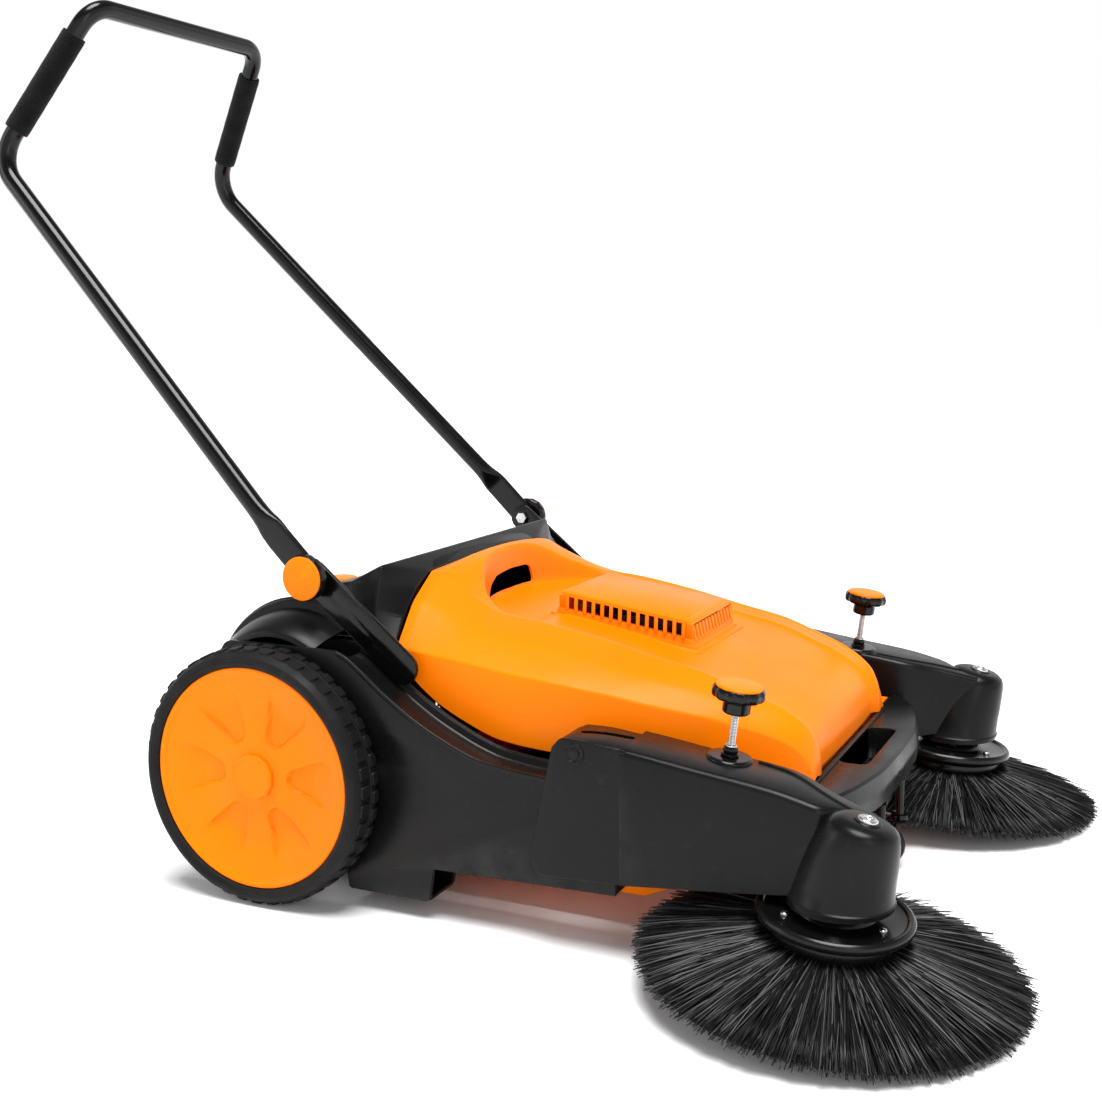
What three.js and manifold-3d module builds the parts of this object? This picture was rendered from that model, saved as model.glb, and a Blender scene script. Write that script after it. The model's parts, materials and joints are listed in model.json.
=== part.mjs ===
// A hand-pushed triple-brush sweeper: two side brushes on tilting arms and a roller brush
// between the wheels throw the dirt into a hopper under an orange hood.
// Millimetres. +X is the way it is pushed, +Y is its left side, +Z is up, the floor is z = 0.
// Everything is drawn with x = 0 at the wheel axle, for the left side, and mirrored for the right.
import * as THREE from 'three';
import { mergeVertices } from 'three/addons/utils/BufferGeometryUtils.js';
import Module from 'manifold-3d';

const wasm = await Module();
wasm.setup();

// ---------------------------------------------------------------- driving dimensions
const GAP = 0.3; // left between pieces that touch
const WALL = 4; // moulded plastic wall

const WHEEL_R = 150;
const RIM_R = 128.4;
const TYRE_Y = [328.2, 375.7];
const AXLE_R = 8;
const HUB_R = 13;

const ROLLER = { x: 61.6, z: 90, r: 88, core: 34, halfWidth: 254, shaft: 7 };
const GEAR_TEETH = 32;
const PINION_TEETH = 8;
const GEAR_Y = [303, 319];
const CENTRE_DISTANCE = Math.hypot(ROLLER.x, WHEEL_R - ROLLER.z);

const FRAME_Y = [266, 271]; // inner wall of a side frame
const PANEL_Y = [321, 326.5]; // outer wall of a side frame
const RAIL_Y = [248.5, 252.5];

const PIVOT = { x: 32.1, y: 284.7, z: 371.3 }; // where the handle folds
const TUBE_R = 12;
const LEG_PLATE = 7;
const STRAP = 6;
const HANDLE_CORNERS = [
  [PIVOT.x, PIVOT.y, PIVOT.z],
  [-475.0, 227.6, 876.9],
  [-351.1, 175.1, 1068.2],
];
const LOWER_BEND_R = 52;
const UPPER_BEND_R = 38;
const GRIP = { r: 16, start: 43, length: 145 };

const ARM_PIVOT = { x: 390, z: 218, r: 5.7 };
const ARM_BOLT = { x: 693.2, y: 334.4, z: 190.4 };
const BRUSH = { x: 658, y: 316, z: 82, forwardTilt: 5, outwardTilt: 2 };
const KNOB = { x: 538.4, y: 280.7, z: 218.6, lean: 7.6, rise: 64, r: 28 };
const CLAMP_R = 27.5;

const CASTER = { x: 645, y: 52, r: 25, trail: 18, width: 16 };

// ---------------------------------------------------------------- materials
const finish = (color, roughness, metalness = 0) => new THREE.MeshStandardMaterial({ color, roughness, metalness });
const ORANGE = finish(0xff8a00, 0.3);
const BLACK = finish(0x1b1b1c, 0.5);
const BLACK_PAINT = finish(0x0c0c0d, 0.25);
const RUBBER = finish(0x161616, 0.8);
const FOAM = finish(0x101010, 0.95);
const BRISTLE = finish(0x202022, 0.7);
const STEEL = finish(0xb8babd, 0.3, 1);
const GREY = finish(0x4a4b4d, 0.5);

// ---------------------------------------------------------------- shape helpers
const rad = THREE.MathUtils.degToRad;

// A closed geometry becomes a solid with its faces pointing out.
function solid(geometry) {
  const bare = new THREE.BufferGeometry();
  bare.setAttribute('position', geometry.getAttribute('position').clone());
  if (geometry.index) bare.setIndex(geometry.index.clone());
  const merged = mergeVertices(bare, 1e-3);
  const index = merged.index.array;
  const position = merged.getAttribute('position').array;
  const triangles = [];
  let volume = 0;
  for (let i = 0; i < index.length; i += 3) {
    const [a, b, c] = [index[i], index[i + 1], index[i + 2]];
    if (a === b || b === c || a === c) continue;
    triangles.push(a, b, c);
    const [p, q, r] = [a, b, c].map((k) => new THREE.Vector3().fromArray(position, k * 3));
    volume += p.dot(q.cross(r));
  }
  if (volume < 0) triangles.reverse();
  return new wasm.Manifold(
    new wasm.Mesh({ numProp: 3, vertProperties: Float32Array.from(position), triVerts: Uint32Array.from(triangles) }),
  );
}

function geometryOf(body) {
  const mesh = body.getMesh();
  const geometry = new THREE.BufferGeometry();
  geometry.setAttribute('position', new THREE.BufferAttribute(Float32Array.from(mesh.vertProperties), 3));
  geometry.setIndex(new THREE.BufferAttribute(Uint32Array.from(mesh.triVerts), 1));
  return geometry;
}

const join = (...bodies) => bodies.reduce((a, b) => a.add(b));
const cut = (body, ...tools) => tools.reduce((a, b) => a.subtract(b), body);

function block([x0, x1], [y0, y1], [z0, z1]) {
  const geometry = new THREE.BoxGeometry(x1 - x0, y1 - y0, z1 - z0);
  return solid(geometry.translate((x0 + x1) / 2, (y0 + y1) / 2, (z0 + z1) / 2));
}

function drumY(r, [y0, y1], x, z, sides = 16) {
  const geometry = new THREE.CylinderGeometry(r, r, y1 - y0, sides);
  return solid(geometry.translate(x, (y0 + y1) / 2, z));
}

function drumZ(r, [z0, z1], x, y, sides = 16) {
  const geometry = new THREE.CylinderGeometry(r, r, z1 - z0, sides).rotateX(Math.PI / 2);
  return solid(geometry.translate(x, y, (z0 + z1) / 2));
}

const outline = (points) => new THREE.Shape(points.map(([a, b]) => new THREE.Vector2(a, b)));

// An outline drawn in X and Z, given thickness along Y.
function plateXZ(shape, [y0, y1], curveSegments = 5) {
  const geometry = new THREE.ExtrudeGeometry(shape, { depth: y1 - y0, bevelEnabled: false, curveSegments });
  return solid(geometry.rotateX(Math.PI / 2).translate(0, y1, 0));
}

// An outline drawn in X and Y, given thickness along Z.
function plateXY(shape, [z0, z1], curveSegments = 5) {
  const geometry = new THREE.ExtrudeGeometry(shape, { depth: z1 - z0, bevelEnabled: false, curveSegments });
  return solid(geometry.translate(0, 0, z0));
}

// An outline drawn in Y and Z, given thickness along X.
function plateYZ(shape, [x0, x1]) {
  const geometry = new THREE.ExtrudeGeometry(shape, { depth: x1 - x0, bevelEnabled: false });
  return solid(geometry.rotateX(Math.PI / 2).rotateZ(Math.PI / 2).translate(x0, 0, 0));
}

// A profile of radius and height turned about Y, or about Z.
function turnedY(profile, sides = 32) {
  const points = [...profile, profile[0]].map(([r, h]) => new THREE.Vector2(r, h));
  return solid(new THREE.LatheGeometry(points, sides));
}

function turnedZ(profile, sides = 16) {
  const points = [...profile, profile[0]].map(([r, h]) => new THREE.Vector2(r, h));
  return solid(new THREE.LatheGeometry(points, sides).rotateX(Math.PI / 2));
}

// A straight slot shape with round ends, from one point to another.
function slotShape([ax, az], [bx, bz], r) {
  const angle = Math.atan2(bz - az, bx - ax);
  const shape = new THREE.Shape();
  shape.absarc(bx, bz, r, angle - Math.PI / 2, angle + Math.PI / 2, false);
  shape.absarc(ax, az, r, angle + Math.PI / 2, angle + Math.PI * 1.5, false);
  return shape;
}

// Triangles that close a nearly flat ring, wound the way the ring runs.
function capTriangles(ring) {
  const spread = [0, 1, 2].map((k) => Math.max(...ring.map((p) => p[k])) - Math.min(...ring.map((p) => p[k])));
  const thin = spread.indexOf(Math.min(...spread));
  const flat = ring.map((p) => new THREE.Vector2(...p.filter((_, k) => k !== thin)));
  const faces = THREE.ShapeUtils.triangulateShape(flat, []);
  return THREE.ShapeUtils.isClockWise(flat) ? faces.map((face) => face.reverse()) : faces;
}

// A body through cross-sections of equal point count, capped at both ends.
function loft(sections) {
  const count = sections[0].length;
  const vertices = sections.flat(2);
  const triangles = [];
  for (let s = 0; s < sections.length - 1; s += 1) {
    for (let i = 0; i < count; i += 1) {
      const a = s * count + i;
      const b = s * count + ((i + 1) % count);
      triangles.push(a, b, b + count, a, b + count, a + count);
    }
  }
  const start = (sections.length - 1) * count;
  for (const [a, b, c] of capTriangles(sections[0])) triangles.push(c, b, a);
  for (const [a, b, c] of capTriangles(sections.at(-1))) triangles.push(start + a, start + b, start + c);
  const geometry = new THREE.BufferGeometry();
  geometry.setAttribute('position', new THREE.BufferAttribute(Float32Array.from(vertices), 3));
  geometry.setIndex(triangles);
  return solid(geometry);
}

// ---------------------------------------------------------------- the assembly
const group = new THREE.Group();
const SIDES = [
  { name: 'left', sign: 1 },
  { name: 'right', sign: -1 },
];

function add(name, body, material, parent = group) {
  const mesh = new THREE.Mesh(body.isBufferGeometry ? body : geometryOf(body), material);
  mesh.name = name;
  parent.add(mesh);
  return mesh;
}

// The left-hand solid, or its mirror image in y = 0.
function handed(body, side) {
  const geometry = geometryOf(body);
  if (side.sign > 0) return geometry;
  geometry.scale(1, -1, 1);
  geometry.index.array.reverse();
  return geometry;
}

const pair = (name, body, material) => {
  for (const side of SIDES) add(`${side.name}_${name}`, handed(body, side), material);
};

const mirrored = (body) => join(body, solid(handed(body, SIDES[1])));

// ---------------------------------------------------------------- wheels
function wheels() {
  const tyre = turnedY([
    [RIM_R + GAP, 332], [RIM_R + GAP, 372], [138, TYRE_Y[1]], [145, 374], [WHEEL_R, 366],
    [WHEEL_R, 338], [145, 330], [138, TYRE_Y[0]],
  ]);
  const bore = AXLE_R + GAP;
  const disc = turnedY([
    [bore, 282], [HUB_R, 282], [HUB_R, 322], [26, 323], [30, 352], [104, 351], [124, 336], [RIM_R, 336],
    [RIM_R, 371], [124, 371.5], [114, 362], [60, 359], [34, 366], [bore, 366],
  ]);
  const cap = turnedY([[0, 366 + GAP], [27, 366 + GAP], [27, 372], [23, 375], [0, 375]], 24);
  const raise = (body) => body.translate([0, 0, WHEEL_R]);
  pair('tyre', raise(tyre), RUBBER);
  pair('wheel_disc', raise(disc), ORANGE);
  pair('hub_cap', raise(cap), ORANGE);
  const grooved = turnedY([
    [HUB_R + GAP, 284], [33, 284], [33, 287], [28, 292], [33, 297], [33, 300], [HUB_R + GAP, 300],
  ], 24);
  pair('wheel_pulley', raise(grooved), BLACK);
}

// A spur gear outline with short straight-sided teeth.
function gearShape(teeth, pitchR, x, z, phase) {
  const shape = new THREE.Shape();
  const pitch = (Math.PI * 2) / teeth;
  const flank = [[-0.27, -2.4], [-0.13, 1.7], [0.13, 1.7], [0.27, -2.4]];
  for (let t = 0; t < teeth; t += 1) {
    for (const [along, out] of flank) {
      const angle = phase + (t + along) * pitch;
      const r = pitchR + out;
      const [px, pz] = [x + r * Math.cos(angle), z + r * Math.sin(angle)];
      if (t === 0 && along === flank[0][0]) shape.moveTo(px, pz);
      else shape.lineTo(px, pz);
    }
  }
  return shape;
}

// The left wheel's gear turns the roller brush the opposite way to the wheels.
function gears() {
  const share = CENTRE_DISTANCE / (GEAR_TEETH + PINION_TEETH);
  const line = Math.atan2(ROLLER.z - WHEEL_R, ROLLER.x);
  const bigGear = plateXZ(gearShape(GEAR_TEETH, share * GEAR_TEETH, 0, WHEEL_R, line), GEAR_Y);
  const toothGap = line + Math.PI + Math.PI / PINION_TEETH;
  const pinion = plateXZ(gearShape(PINION_TEETH, share * PINION_TEETH, ROLLER.x, ROLLER.z, toothGap), GEAR_Y);
  add('drive_gear', cut(bigGear, drumY(HUB_R + GAP, [300, 322], 0, WHEEL_R, 36)), GREY);
  add('roller_pinion', cut(pinion, drumY(ROLLER.shaft + GAP, [300, 322], ROLLER.x, ROLLER.z)), GREY);
}

// ---------------------------------------------------------------- roller brush
function rollerBrush() {
  const { x, z, r, core, halfWidth, shaft } = ROLLER;
  const width = [-halfWidth + 6, halfWidth - 6];
  const bristles = cut(drumY(r, width, x, z, 36), drumY(core + GAP, [-300, 300], x, z));
  const spindle = join(
    drumY(core, [-halfWidth, halfWidth], x, z),
    drumY(shaft, [-276, 320], x, z),
  );
  add('roller_shaft', spindle, GREY);
  add('roller_bristles', bristles, BRISTLE);
  const bush = cut(drumY(13, [262, 275], x, z), drumY(shaft + GAP, [250, 280], x, z));
  pair('roller_bearing', bush, STEEL);
}

// ---------------------------------------------------------------- side frames
const FENDER = [[430, 178], [352, 182], [275, 190], [226, 209], [176, 237], [113, 284], [90, 296]];

function sideFrames() {
  const inner = plateXZ(outline([
    [-92, 48], [98, 48], [102, 22], [206, 22], [212, 61], [430, 66], [430, 178], [330, 186], [266, 194], [228, 210],
    [190, 232], [150, 262], [118, 297], [-60, 297], [-92, 250],
  ]), FRAME_Y);
  const outer = plateXZ(outline([[-92, 48], [150, 48], [172, 60], [430, 66], ...FENDER, [-60, 297], [-92, 250]]), PANEL_Y);
  const opening = drumY(80, [300, 340], 0, WHEEL_R, 36);
  const between = [FRAME_Y[1] - 1, PANEL_Y[0] + 1];
  const lowered = FENDER.map(([x, z]) => [x, z - 12]);
  const underside = FENDER.map(([x, z]) => [x, z - 16]).reverse();
  const trough = plateXZ(outline([...lowered, ...underside]), between);
  const floor = plateXZ(outline([[172, 60], [430, 66], [430, 70], [172, 64]]), between);
  const frontWall = block([426, 430], between, [68, 168]);
  const ear = plateXZ(slotShape([ARM_PIVOT.x, ARM_PIVOT.z - 1], [ARM_PIVOT.x, 150], 9), PANEL_Y);
  const boss = drumY(9, [PANEL_Y[0], 335], ARM_PIVOT.x, ARM_PIVOT.z);
  const pin = drumY(ARM_PIVOT.r, [PANEL_Y[0], 342], ARM_PIVOT.x, ARM_PIVOT.z);
  const { x, z } = ROLLER;
  const frame = cut(
    join(inner, cut(outer, opening), trough, floor, frontWall, ear, boss, pin),
    drumY(13 + GAP, [255, 290], x, z),
    drumY(AXLE_R + GAP, [255, 290], 0, WHEEL_R),
    ...STRAP_STUDS.map(([px, pz]) => drumY(5 + GAP, [255, 280], px, pz, 16)),
    slotHole(),
  );
  pair('side_frame', frame, BLACK);

  const stub = join(
    drumY(AXLE_R, [262, 365.5], 0, WHEEL_R),
    drumY(16, [256.5, FRAME_Y[0] - GAP], 0, WHEEL_R),
  );
  pair('stub_axle', stub, STEEL);
}

// The drain slot in the trough beside the hopper.
function slotHole() {
  return block([318, 352], [290, 312], [160, 190]);
}

// ---------------------------------------------------------------- brush housing and rear cover
const HOUSING = { x: 0, z: 214, r: 124 };
const HEIGHT_KNOB = { x: -12, y: -150, z: [339, 347], r: 19 }; // sets how hard the roller brush presses

function brushHousing() {
  const { x, z, r } = HOUSING;
  const arc = (radius, from, to, shape, clockwise) => shape.absarc(x, z, radius, rad(from), rad(to), clockwise);
  const shell = new THREE.Shape();
  shell.moveTo(x - r + 4, 46);
  shell.lineTo(x - r, z);
  arc(r, 180, 55, shell, true);
  arc(r - WALL, 55, 180, shell, false);
  shell.lineTo(x - r + WALL + 4, 46);
  const span = 264;
  const middle = plateXZ(shell, [-span, span], 7);
  const cheekRing = (y, radius) => {
    const points = [];
    for (let i = 0; i <= 10; i += 1) {
      const angle = rad(160 - 13 * i);
      points.push([x + radius * Math.cos(angle), y, z + radius * Math.sin(angle)]);
    }
    return points;
  };
  const cheek = loft([cheekRing(span - 1, 114), cheekRing(300, 107), cheekRing(321, 94)]);
  const inside = loft([cheekRing(span - 2, 109), cheekRing(298, 102), cheekRing(317, 90)]);
  const above = block([-200, 300], [-400, 400], [298, 420]);
  const web = cut(drumY(r - 1, [span - 4, span + 0.5], x, z, 32), drumY(110, [250, 270], x, z, 32));
  const cap = join(cut(cheek, inside), web).intersect(above);
  const screw = drumZ(6, [290, 360], HEIGHT_KNOB.x, HEIGHT_KNOB.y);
  const body = join(middle, mirrored(cap));
  add('brush_housing', cut(body, screw), BLACK);

  const knob = join(
    drumZ(HEIGHT_KNOB.r, HEIGHT_KNOB.z, HEIGHT_KNOB.x, HEIGHT_KNOB.y, 24),
    drumZ(5, [296, HEIGHT_KNOB.z[0] + 1], HEIGHT_KNOB.x, HEIGHT_KNOB.y),
  );
  add('brush_height_knob', knob, ORANGE);
}

function rearCover() {
  const shape = (t) => outline([
    [26 + t, 353], [50 + t, 359 - t], [94 + t / 2, 381 - t], [115, 384 - t], [115, 300 - 4 * t], [60, 300 - 4 * t],
  ]);
  const across = (t) => outline([
    [-264 + t, 290], [-264 + t, 305], [-228 + t, 384 - t], [228 - t, 384 - t], [264 - t, 305], [264 - t, 290],
  ]);
  const clearHousing = drumY(HOUSING.r + GAP, [-300, 300], HOUSING.x, HOUSING.z, 64);
  const outside = plateXZ(shape(0), [-264, 264]).intersect(plateYZ(across(0), [0, 200]));
  const inside = plateXZ(shape(WALL), [-264, 264]).intersect(plateYZ(across(WALL), [0, 200]));
  add('rear_cover', cut(outside, inside, clearHousing), BLACK);
}

// ---------------------------------------------------------------- hopper, hood and vent
// Stations along the hood: x, centre height, crest half-width and height, side half-width and height, lower edge.
const HOOD = [
  [117, 366, 150, 366, 262, 293, 298],
  [140, 373, 152, 356, 262, 291, 272],
  [177, 379, 157, 346, 262, 286, 246],
  [205, 376, 162, 335, 262, 283, 226],
  [233, 368, 168, 321, 262, 281, 210],
  [266, 300, 168, 315, 262, 275, 197],
  [325, 289, 168, 303, 258, 268, 190],
  [405, 276, 168, 284, 243, 253, 186],
  [487, 258, 166, 262, 219, 237, 178],
  [540, 243, 163, 246, 198, 222, 172],
  [581, 230, 156, 231, 180, 202, 167],
  [598, 210, 148, 204, 169, 184, 164.5],
];

const SCOOP = { x: 226, y: 66, r: 80, floor: 312, front: 262 };

function hoodSection([x, centreZ, crestY, crestZ, sideY, sideZ, lowZ], t, drop) {
  const half = [
    [sideY - t, Math.min(lowZ, sideZ - 4) - drop],
    [sideY - t, sideZ - t / 2],
    [(sideY * 2 + crestY) / 3 - t, (sideZ + crestZ * 2) / 3 - t * 0.6],
    [crestY - t / 2, crestZ - t],
    [crestY - 14, Math.min(centreZ, crestZ + 2) - t],
    [crestY * 0.55, centreZ - t],
  ];
  const other = half.map(([y, z]) => [-y, z]).reverse();
  return [...half, ...other].map(([y, z]) => [x, y, z]);
}

function hood() {
  const outside = loft(HOOD.map((s) => hoodSection(s, 0, 0)));
  const inner = HOOD.map((s, i) => [i === HOOD.length - 1 ? s[0] - WALL : s[0], ...s.slice(1)]);
  inner[0][0] -= 5;
  const inside = loft(inner.map((s) => hoodSection(s, WALL, 60)));
  const pocket = scoop(0, [SCOOP.floor, 400]);
  const grasp = block([100, 180], [-70, 70], [316, 343]);
  const shell = cut(outside, inside, pocket, grasp);
  const pocketWall = scoop(WALL, [SCOOP.floor - WALL, 400]).intersect(loft(HOOD.map((s) => hoodSection(s, 0.5, 0))));
  const body = cut(join(shell, cut(pocketWall, pocket, grasp)), ventOpening());
  add('hopper_hood', body, ORANGE);
}

// The room for a hand behind the vent, widened by the thickness t.
function scoop(t, height) {
  const { x, y, r, front } = SCOOP;
  return join(
    drumZ(r + t, height, x, y, 32),
    drumZ(r + t, height, x, -y, 32),
    block([x - r - t, front], [-y, y], height),
    block([x, front], [-y - r - t, y + r + t], height),
  );
}

function ventOpening() {
  return block([262, 420], [-62, 62], [250, 330]);
}

function vent() {
  const outside = loft([
    [[232, -84, 300], [232, 84, 300], [232, 84, 312], [232, -84, 312]],
    [[438, -84, 273], [438, 84, 273], [438, 84, 283], [438, -84, 283]],
  ]);
  const roof = plateXZ(outline([[240, 296], [253, 335], [424, 310], [434, 268]]), [-77, 77]);
  const sideTaper = (t) => outline([[-80 + t, 255], [-75 + t, 338], [75 - t, 338], [80 - t, 255]]);
  const tower = roof.intersect(plateYZ(sideTaper(0), [200, 460]));
  const hollow = plateXZ(outline([[248, 290], [258, 330], [419, 306], [428, 262]]), [-72, 72]);
  const room = block([258, 424], [-68, 68], [262, 300]);
  const hoodTop = loft(HOOD.map((s) => hoodSection(s, -GAP, 0)));
  let body = cut(join(outside, tower), hollow, room, hoodTop);
  const slotPitch = 11.6;
  for (let i = 0; i < 12; i += 1) {
    const x = 272 + i * slotPitch;
    const top = 327 - (x - 272) * 0.146;
    body = cut(body, block([x, x + 7.4], [-90, 90], [top - 14, top]));
  }
  add('vent_cover', body, ORANGE);
}

function hopperBin() {
  const side = (t) => outline([
    [162 - t * 3, 36 + t], [430, 36 + t], [572 - t, 96 + t], [588 - t, 160 + t * 9], [162 - t * 3, 160 + t * 9],
  ]);
  const shell = cut(plateXZ(side(0), [-245, 245]), plateXZ(side(WALL - 1), [-241.5, 241.5]));
  add('hopper_bin', shell, ORANGE);
}

// ---------------------------------------------------------------- front bumper with its carrying slot
function frontBumper() {
  const shape = new THREE.Shape();
  const front = [[600, 252.5], [625, 217], [640, 180], [651, 130], [660, 80], [664, 0]];
  shape.moveTo(592, 252.5);
  for (const [x, y] of front) shape.lineTo(x, y);
  for (const [x, y] of [...front].reverse().slice(1)) shape.lineTo(x, -y);
  shape.lineTo(592, -252.5);
  shape.lineTo(592, 252.5);
  const plate = cut(plateXY(shape, [124, 163]), block([601, 634], [-80, 80], [100, 200]));
  const lip = block([592, 603], [-166, 166], [120, 163]);
  const rail = block([402, 594], RAIL_Y, [126, 158]);
  const railFoot = block([402, 424], [RAIL_Y[0], FRAME_Y[0] - GAP], [126, 158]);
  let body = join(plate, cut(lip, block([580, 596], [-160, 160], [110, 170])), mirrored(join(rail, railFoot)));
  for (const side of SIDES) {
    const y = side.sign * CASTER.y;
    const bracket = block([CASTER.x - 10, CASTER.x + 10], [y - 14, y + 14], [112, 126]);
    body = cut(join(body, bracket), drumZ(5.6, [100, 123], CASTER.x, y));
  }
  add('front_bumper', body, BLACK);
}

// ---------------------------------------------------------------- casters under the bumper
function casters() {
  const { x, y, r, trail, width } = CASTER;
  const wheel = cut(
    turnedY([[4.3, -width / 2], [r - 2, -width / 2], [r, -width / 2 + 3], [r, width / 2 - 3], [r - 2, width / 2], [4.3, width / 2]], 20),
    drumY(4.3, [-20, 20], 0, 0),
  );
  const leg = plateXZ(slotShape([0, 0], [6, 30], 7), [width / 2 + 1.5, width / 2 + 4]);
  const fork = join(
    mirrored(leg),
    block([-2, trail + 9], [-width / 2 - 4, width / 2 + 4], [33, 37]),
    drumY(3.6, [-width / 2 - 4, width / 2 + 4], 0, 0),
    drumZ(5, [36, 96], trail, 0),
    drumZ(11, [36, 42], trail, 0),
  );
  for (const side of SIDES) {
    const place = new THREE.Group();
    place.position.set(x - trail, side.sign * y, r);
    group.add(place);
    add(`${side.name}_caster_fork`, fork, STEEL, place);
    add(`${side.name}_caster_wheel`, wheel, RUBBER, place);
  }
}

// ---------------------------------------------------------------- handle
// A path that runs straight between stations, so each bend keeps its own points.
class StationPath extends THREE.Curve {
  constructor(stations) {
    super();
    this.stations = stations;
  }

  getPoint(t, target = new THREE.Vector3()) {
    const last = this.stations.length - 1;
    const s = THREE.MathUtils.clamp(t, 0, 1) * last;
    const i = Math.min(Math.floor(s), last - 1);
    return target.lerpVectors(this.stations[i], this.stations[i + 1], s - i);
  }

  getUtoTmapping(u) {
    return u;
  }
}

function bend(before, corner, after, r, steps) {
  const u = corner.clone().sub(before).normalize();
  const v = after.clone().sub(corner).normalize();
  const turn = u.angleTo(v);
  const start = corner.clone().addScaledVector(u, -r * Math.tan(turn / 2));
  const towards = v.clone().sub(u).normalize();
  const centre = corner.clone().addScaledVector(towards, r / Math.cos(turn / 2));
  const axis = u.clone().cross(v).normalize();
  const points = [];
  for (let i = 0; i <= steps; i += 1) {
    points.push(start.clone().sub(centre).applyAxisAngle(axis, (turn * i) / steps).add(centre));
  }
  return points;
}

function handle() {
  const left = HANDLE_CORNERS.map(([x, y, z]) => new THREE.Vector3(x, y, z));
  const right = HANDLE_CORNERS.map(([x, y, z]) => new THREE.Vector3(x, -y, z)).reverse();
  const [pivot, lower, upper] = left;
  const up = lower.clone().sub(pivot).normalize();
  const start = pivot.clone().addScaledVector(up, 62);
  const half = [
    start,
    ...bend(pivot, lower, upper, LOWER_BEND_R, 6),
    ...bend(lower, upper, right[0], UPPER_BEND_R, 6),
  ];
  const stations = [...half, ...half.map((p) => p.clone().setY(-p.y)).reverse()];
  const ring = new THREE.Shape();
  ring.absarc(0, 0, TUBE_R, 0, Math.PI * 2);
  const path = new StationPath(stations);
  const tube = solid(new THREE.ExtrudeGeometry(ring, { extrudePath: path, steps: stations.length - 1, curveSegments: 6 }));
  const plateY = [PIVOT.y - LEG_PLATE / 2, PIVOT.y + LEG_PLATE / 2];
  const tip = pivot.clone().addScaledVector(up, 84);
  const plate = plateXZ(slotShape([PIVOT.x, PIVOT.z], [tip.x, tip.z], 17), plateY);
  const hole = drumY(5 + GAP, [PIVOT.y - 20, PIVOT.y + 20], PIVOT.x, PIVOT.z);
  add('handle_tube', join(tube, mirrored(cut(plate, hole))), BLACK_PAINT);

  const along = upper.clone().sub(lower).normalize();
  const sleeve = turnedZ([[TUBE_R + GAP, 0], [GRIP.r, 0], [GRIP.r, GRIP.length], [TUBE_R + GAP, GRIP.length]], 16);
  for (const side of SIDES) {
    const mesh = add(`${side.name}_grip`, sleeve, FOAM);
    const direction = along.clone().setY(along.y * side.sign);
    const from = upper.clone().addScaledVector(along, -GRIP.start - GRIP.length);
    mesh.position.set(from.x, from.y * side.sign, from.z);
    mesh.quaternion.setFromUnitVectors(new THREE.Vector3(0, 0, 1), direction);
  }
}

// ---------------------------------------------------------------- handle brackets, bolts and clamp knobs
const STRAP_Y = [PIVOT.y - LEG_PLATE / 2 - GAP - STRAP, PIVOT.y - LEG_PLATE / 2 - GAP];
const STRAP_FOOT = [150, 272];
const STRAP_STUDS = [[132, 283], [150, 268]];

function handleBrackets() {
  const strap = cut(
    plateXZ(slotShape([PIVOT.x, PIVOT.z], STRAP_FOOT, 19), STRAP_Y),
    drumY(5 + GAP, [200, 300], PIVOT.x, PIVOT.z),
  );
  const studs = STRAP_STUDS.map(([x, z]) => drumY(5, [FRAME_Y[0], STRAP_Y[0] + 1], x, z, 16));
  pair('handle_bracket', join(strap, ...studs), BLACK_PAINT);

  const bolt = join(
    drumY(5, [STRAP_Y[0] - 4, PIVOT.y + 12], PIVOT.x, PIVOT.z),
    drumY(9, [STRAP_Y[0] - 6, STRAP_Y[0] - GAP], PIVOT.x, PIVOT.z, 6),
  );
  pair('pivot_bolt', bolt, STEEL);

  const base = PIVOT.y + LEG_PLATE / 2 + GAP;
  const knob = cut(
    plateXZ(scallopShape(CLAMP_R, 12), [base, base + 13.5]).translate([PIVOT.x, 0, PIVOT.z]),
    drumY(5 + GAP, [base - 5, PIVOT.y + 12.5], PIVOT.x, PIVOT.z),
  );
  const cap = drumY(26, [base + 13.5 + GAP, base + 16.5], PIVOT.x, PIVOT.z, 32);
  pair('clamp_knob', knob, BLACK);
  pair('clamp_knob_cap', cap, ORANGE);
}

// A round knob outline with finger scallops.
function scallopShape(r, lobes) {
  const points = [];
  const steps = lobes * 4;
  for (let i = 0; i < steps; i += 1) {
    const angle = (i / steps) * Math.PI * 2;
    const reach = r - 0.9 * (1 - Math.cos(angle * lobes));
    points.push([reach * Math.cos(angle), reach * Math.sin(angle)]);
  }
  return outline(points);
}

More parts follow.
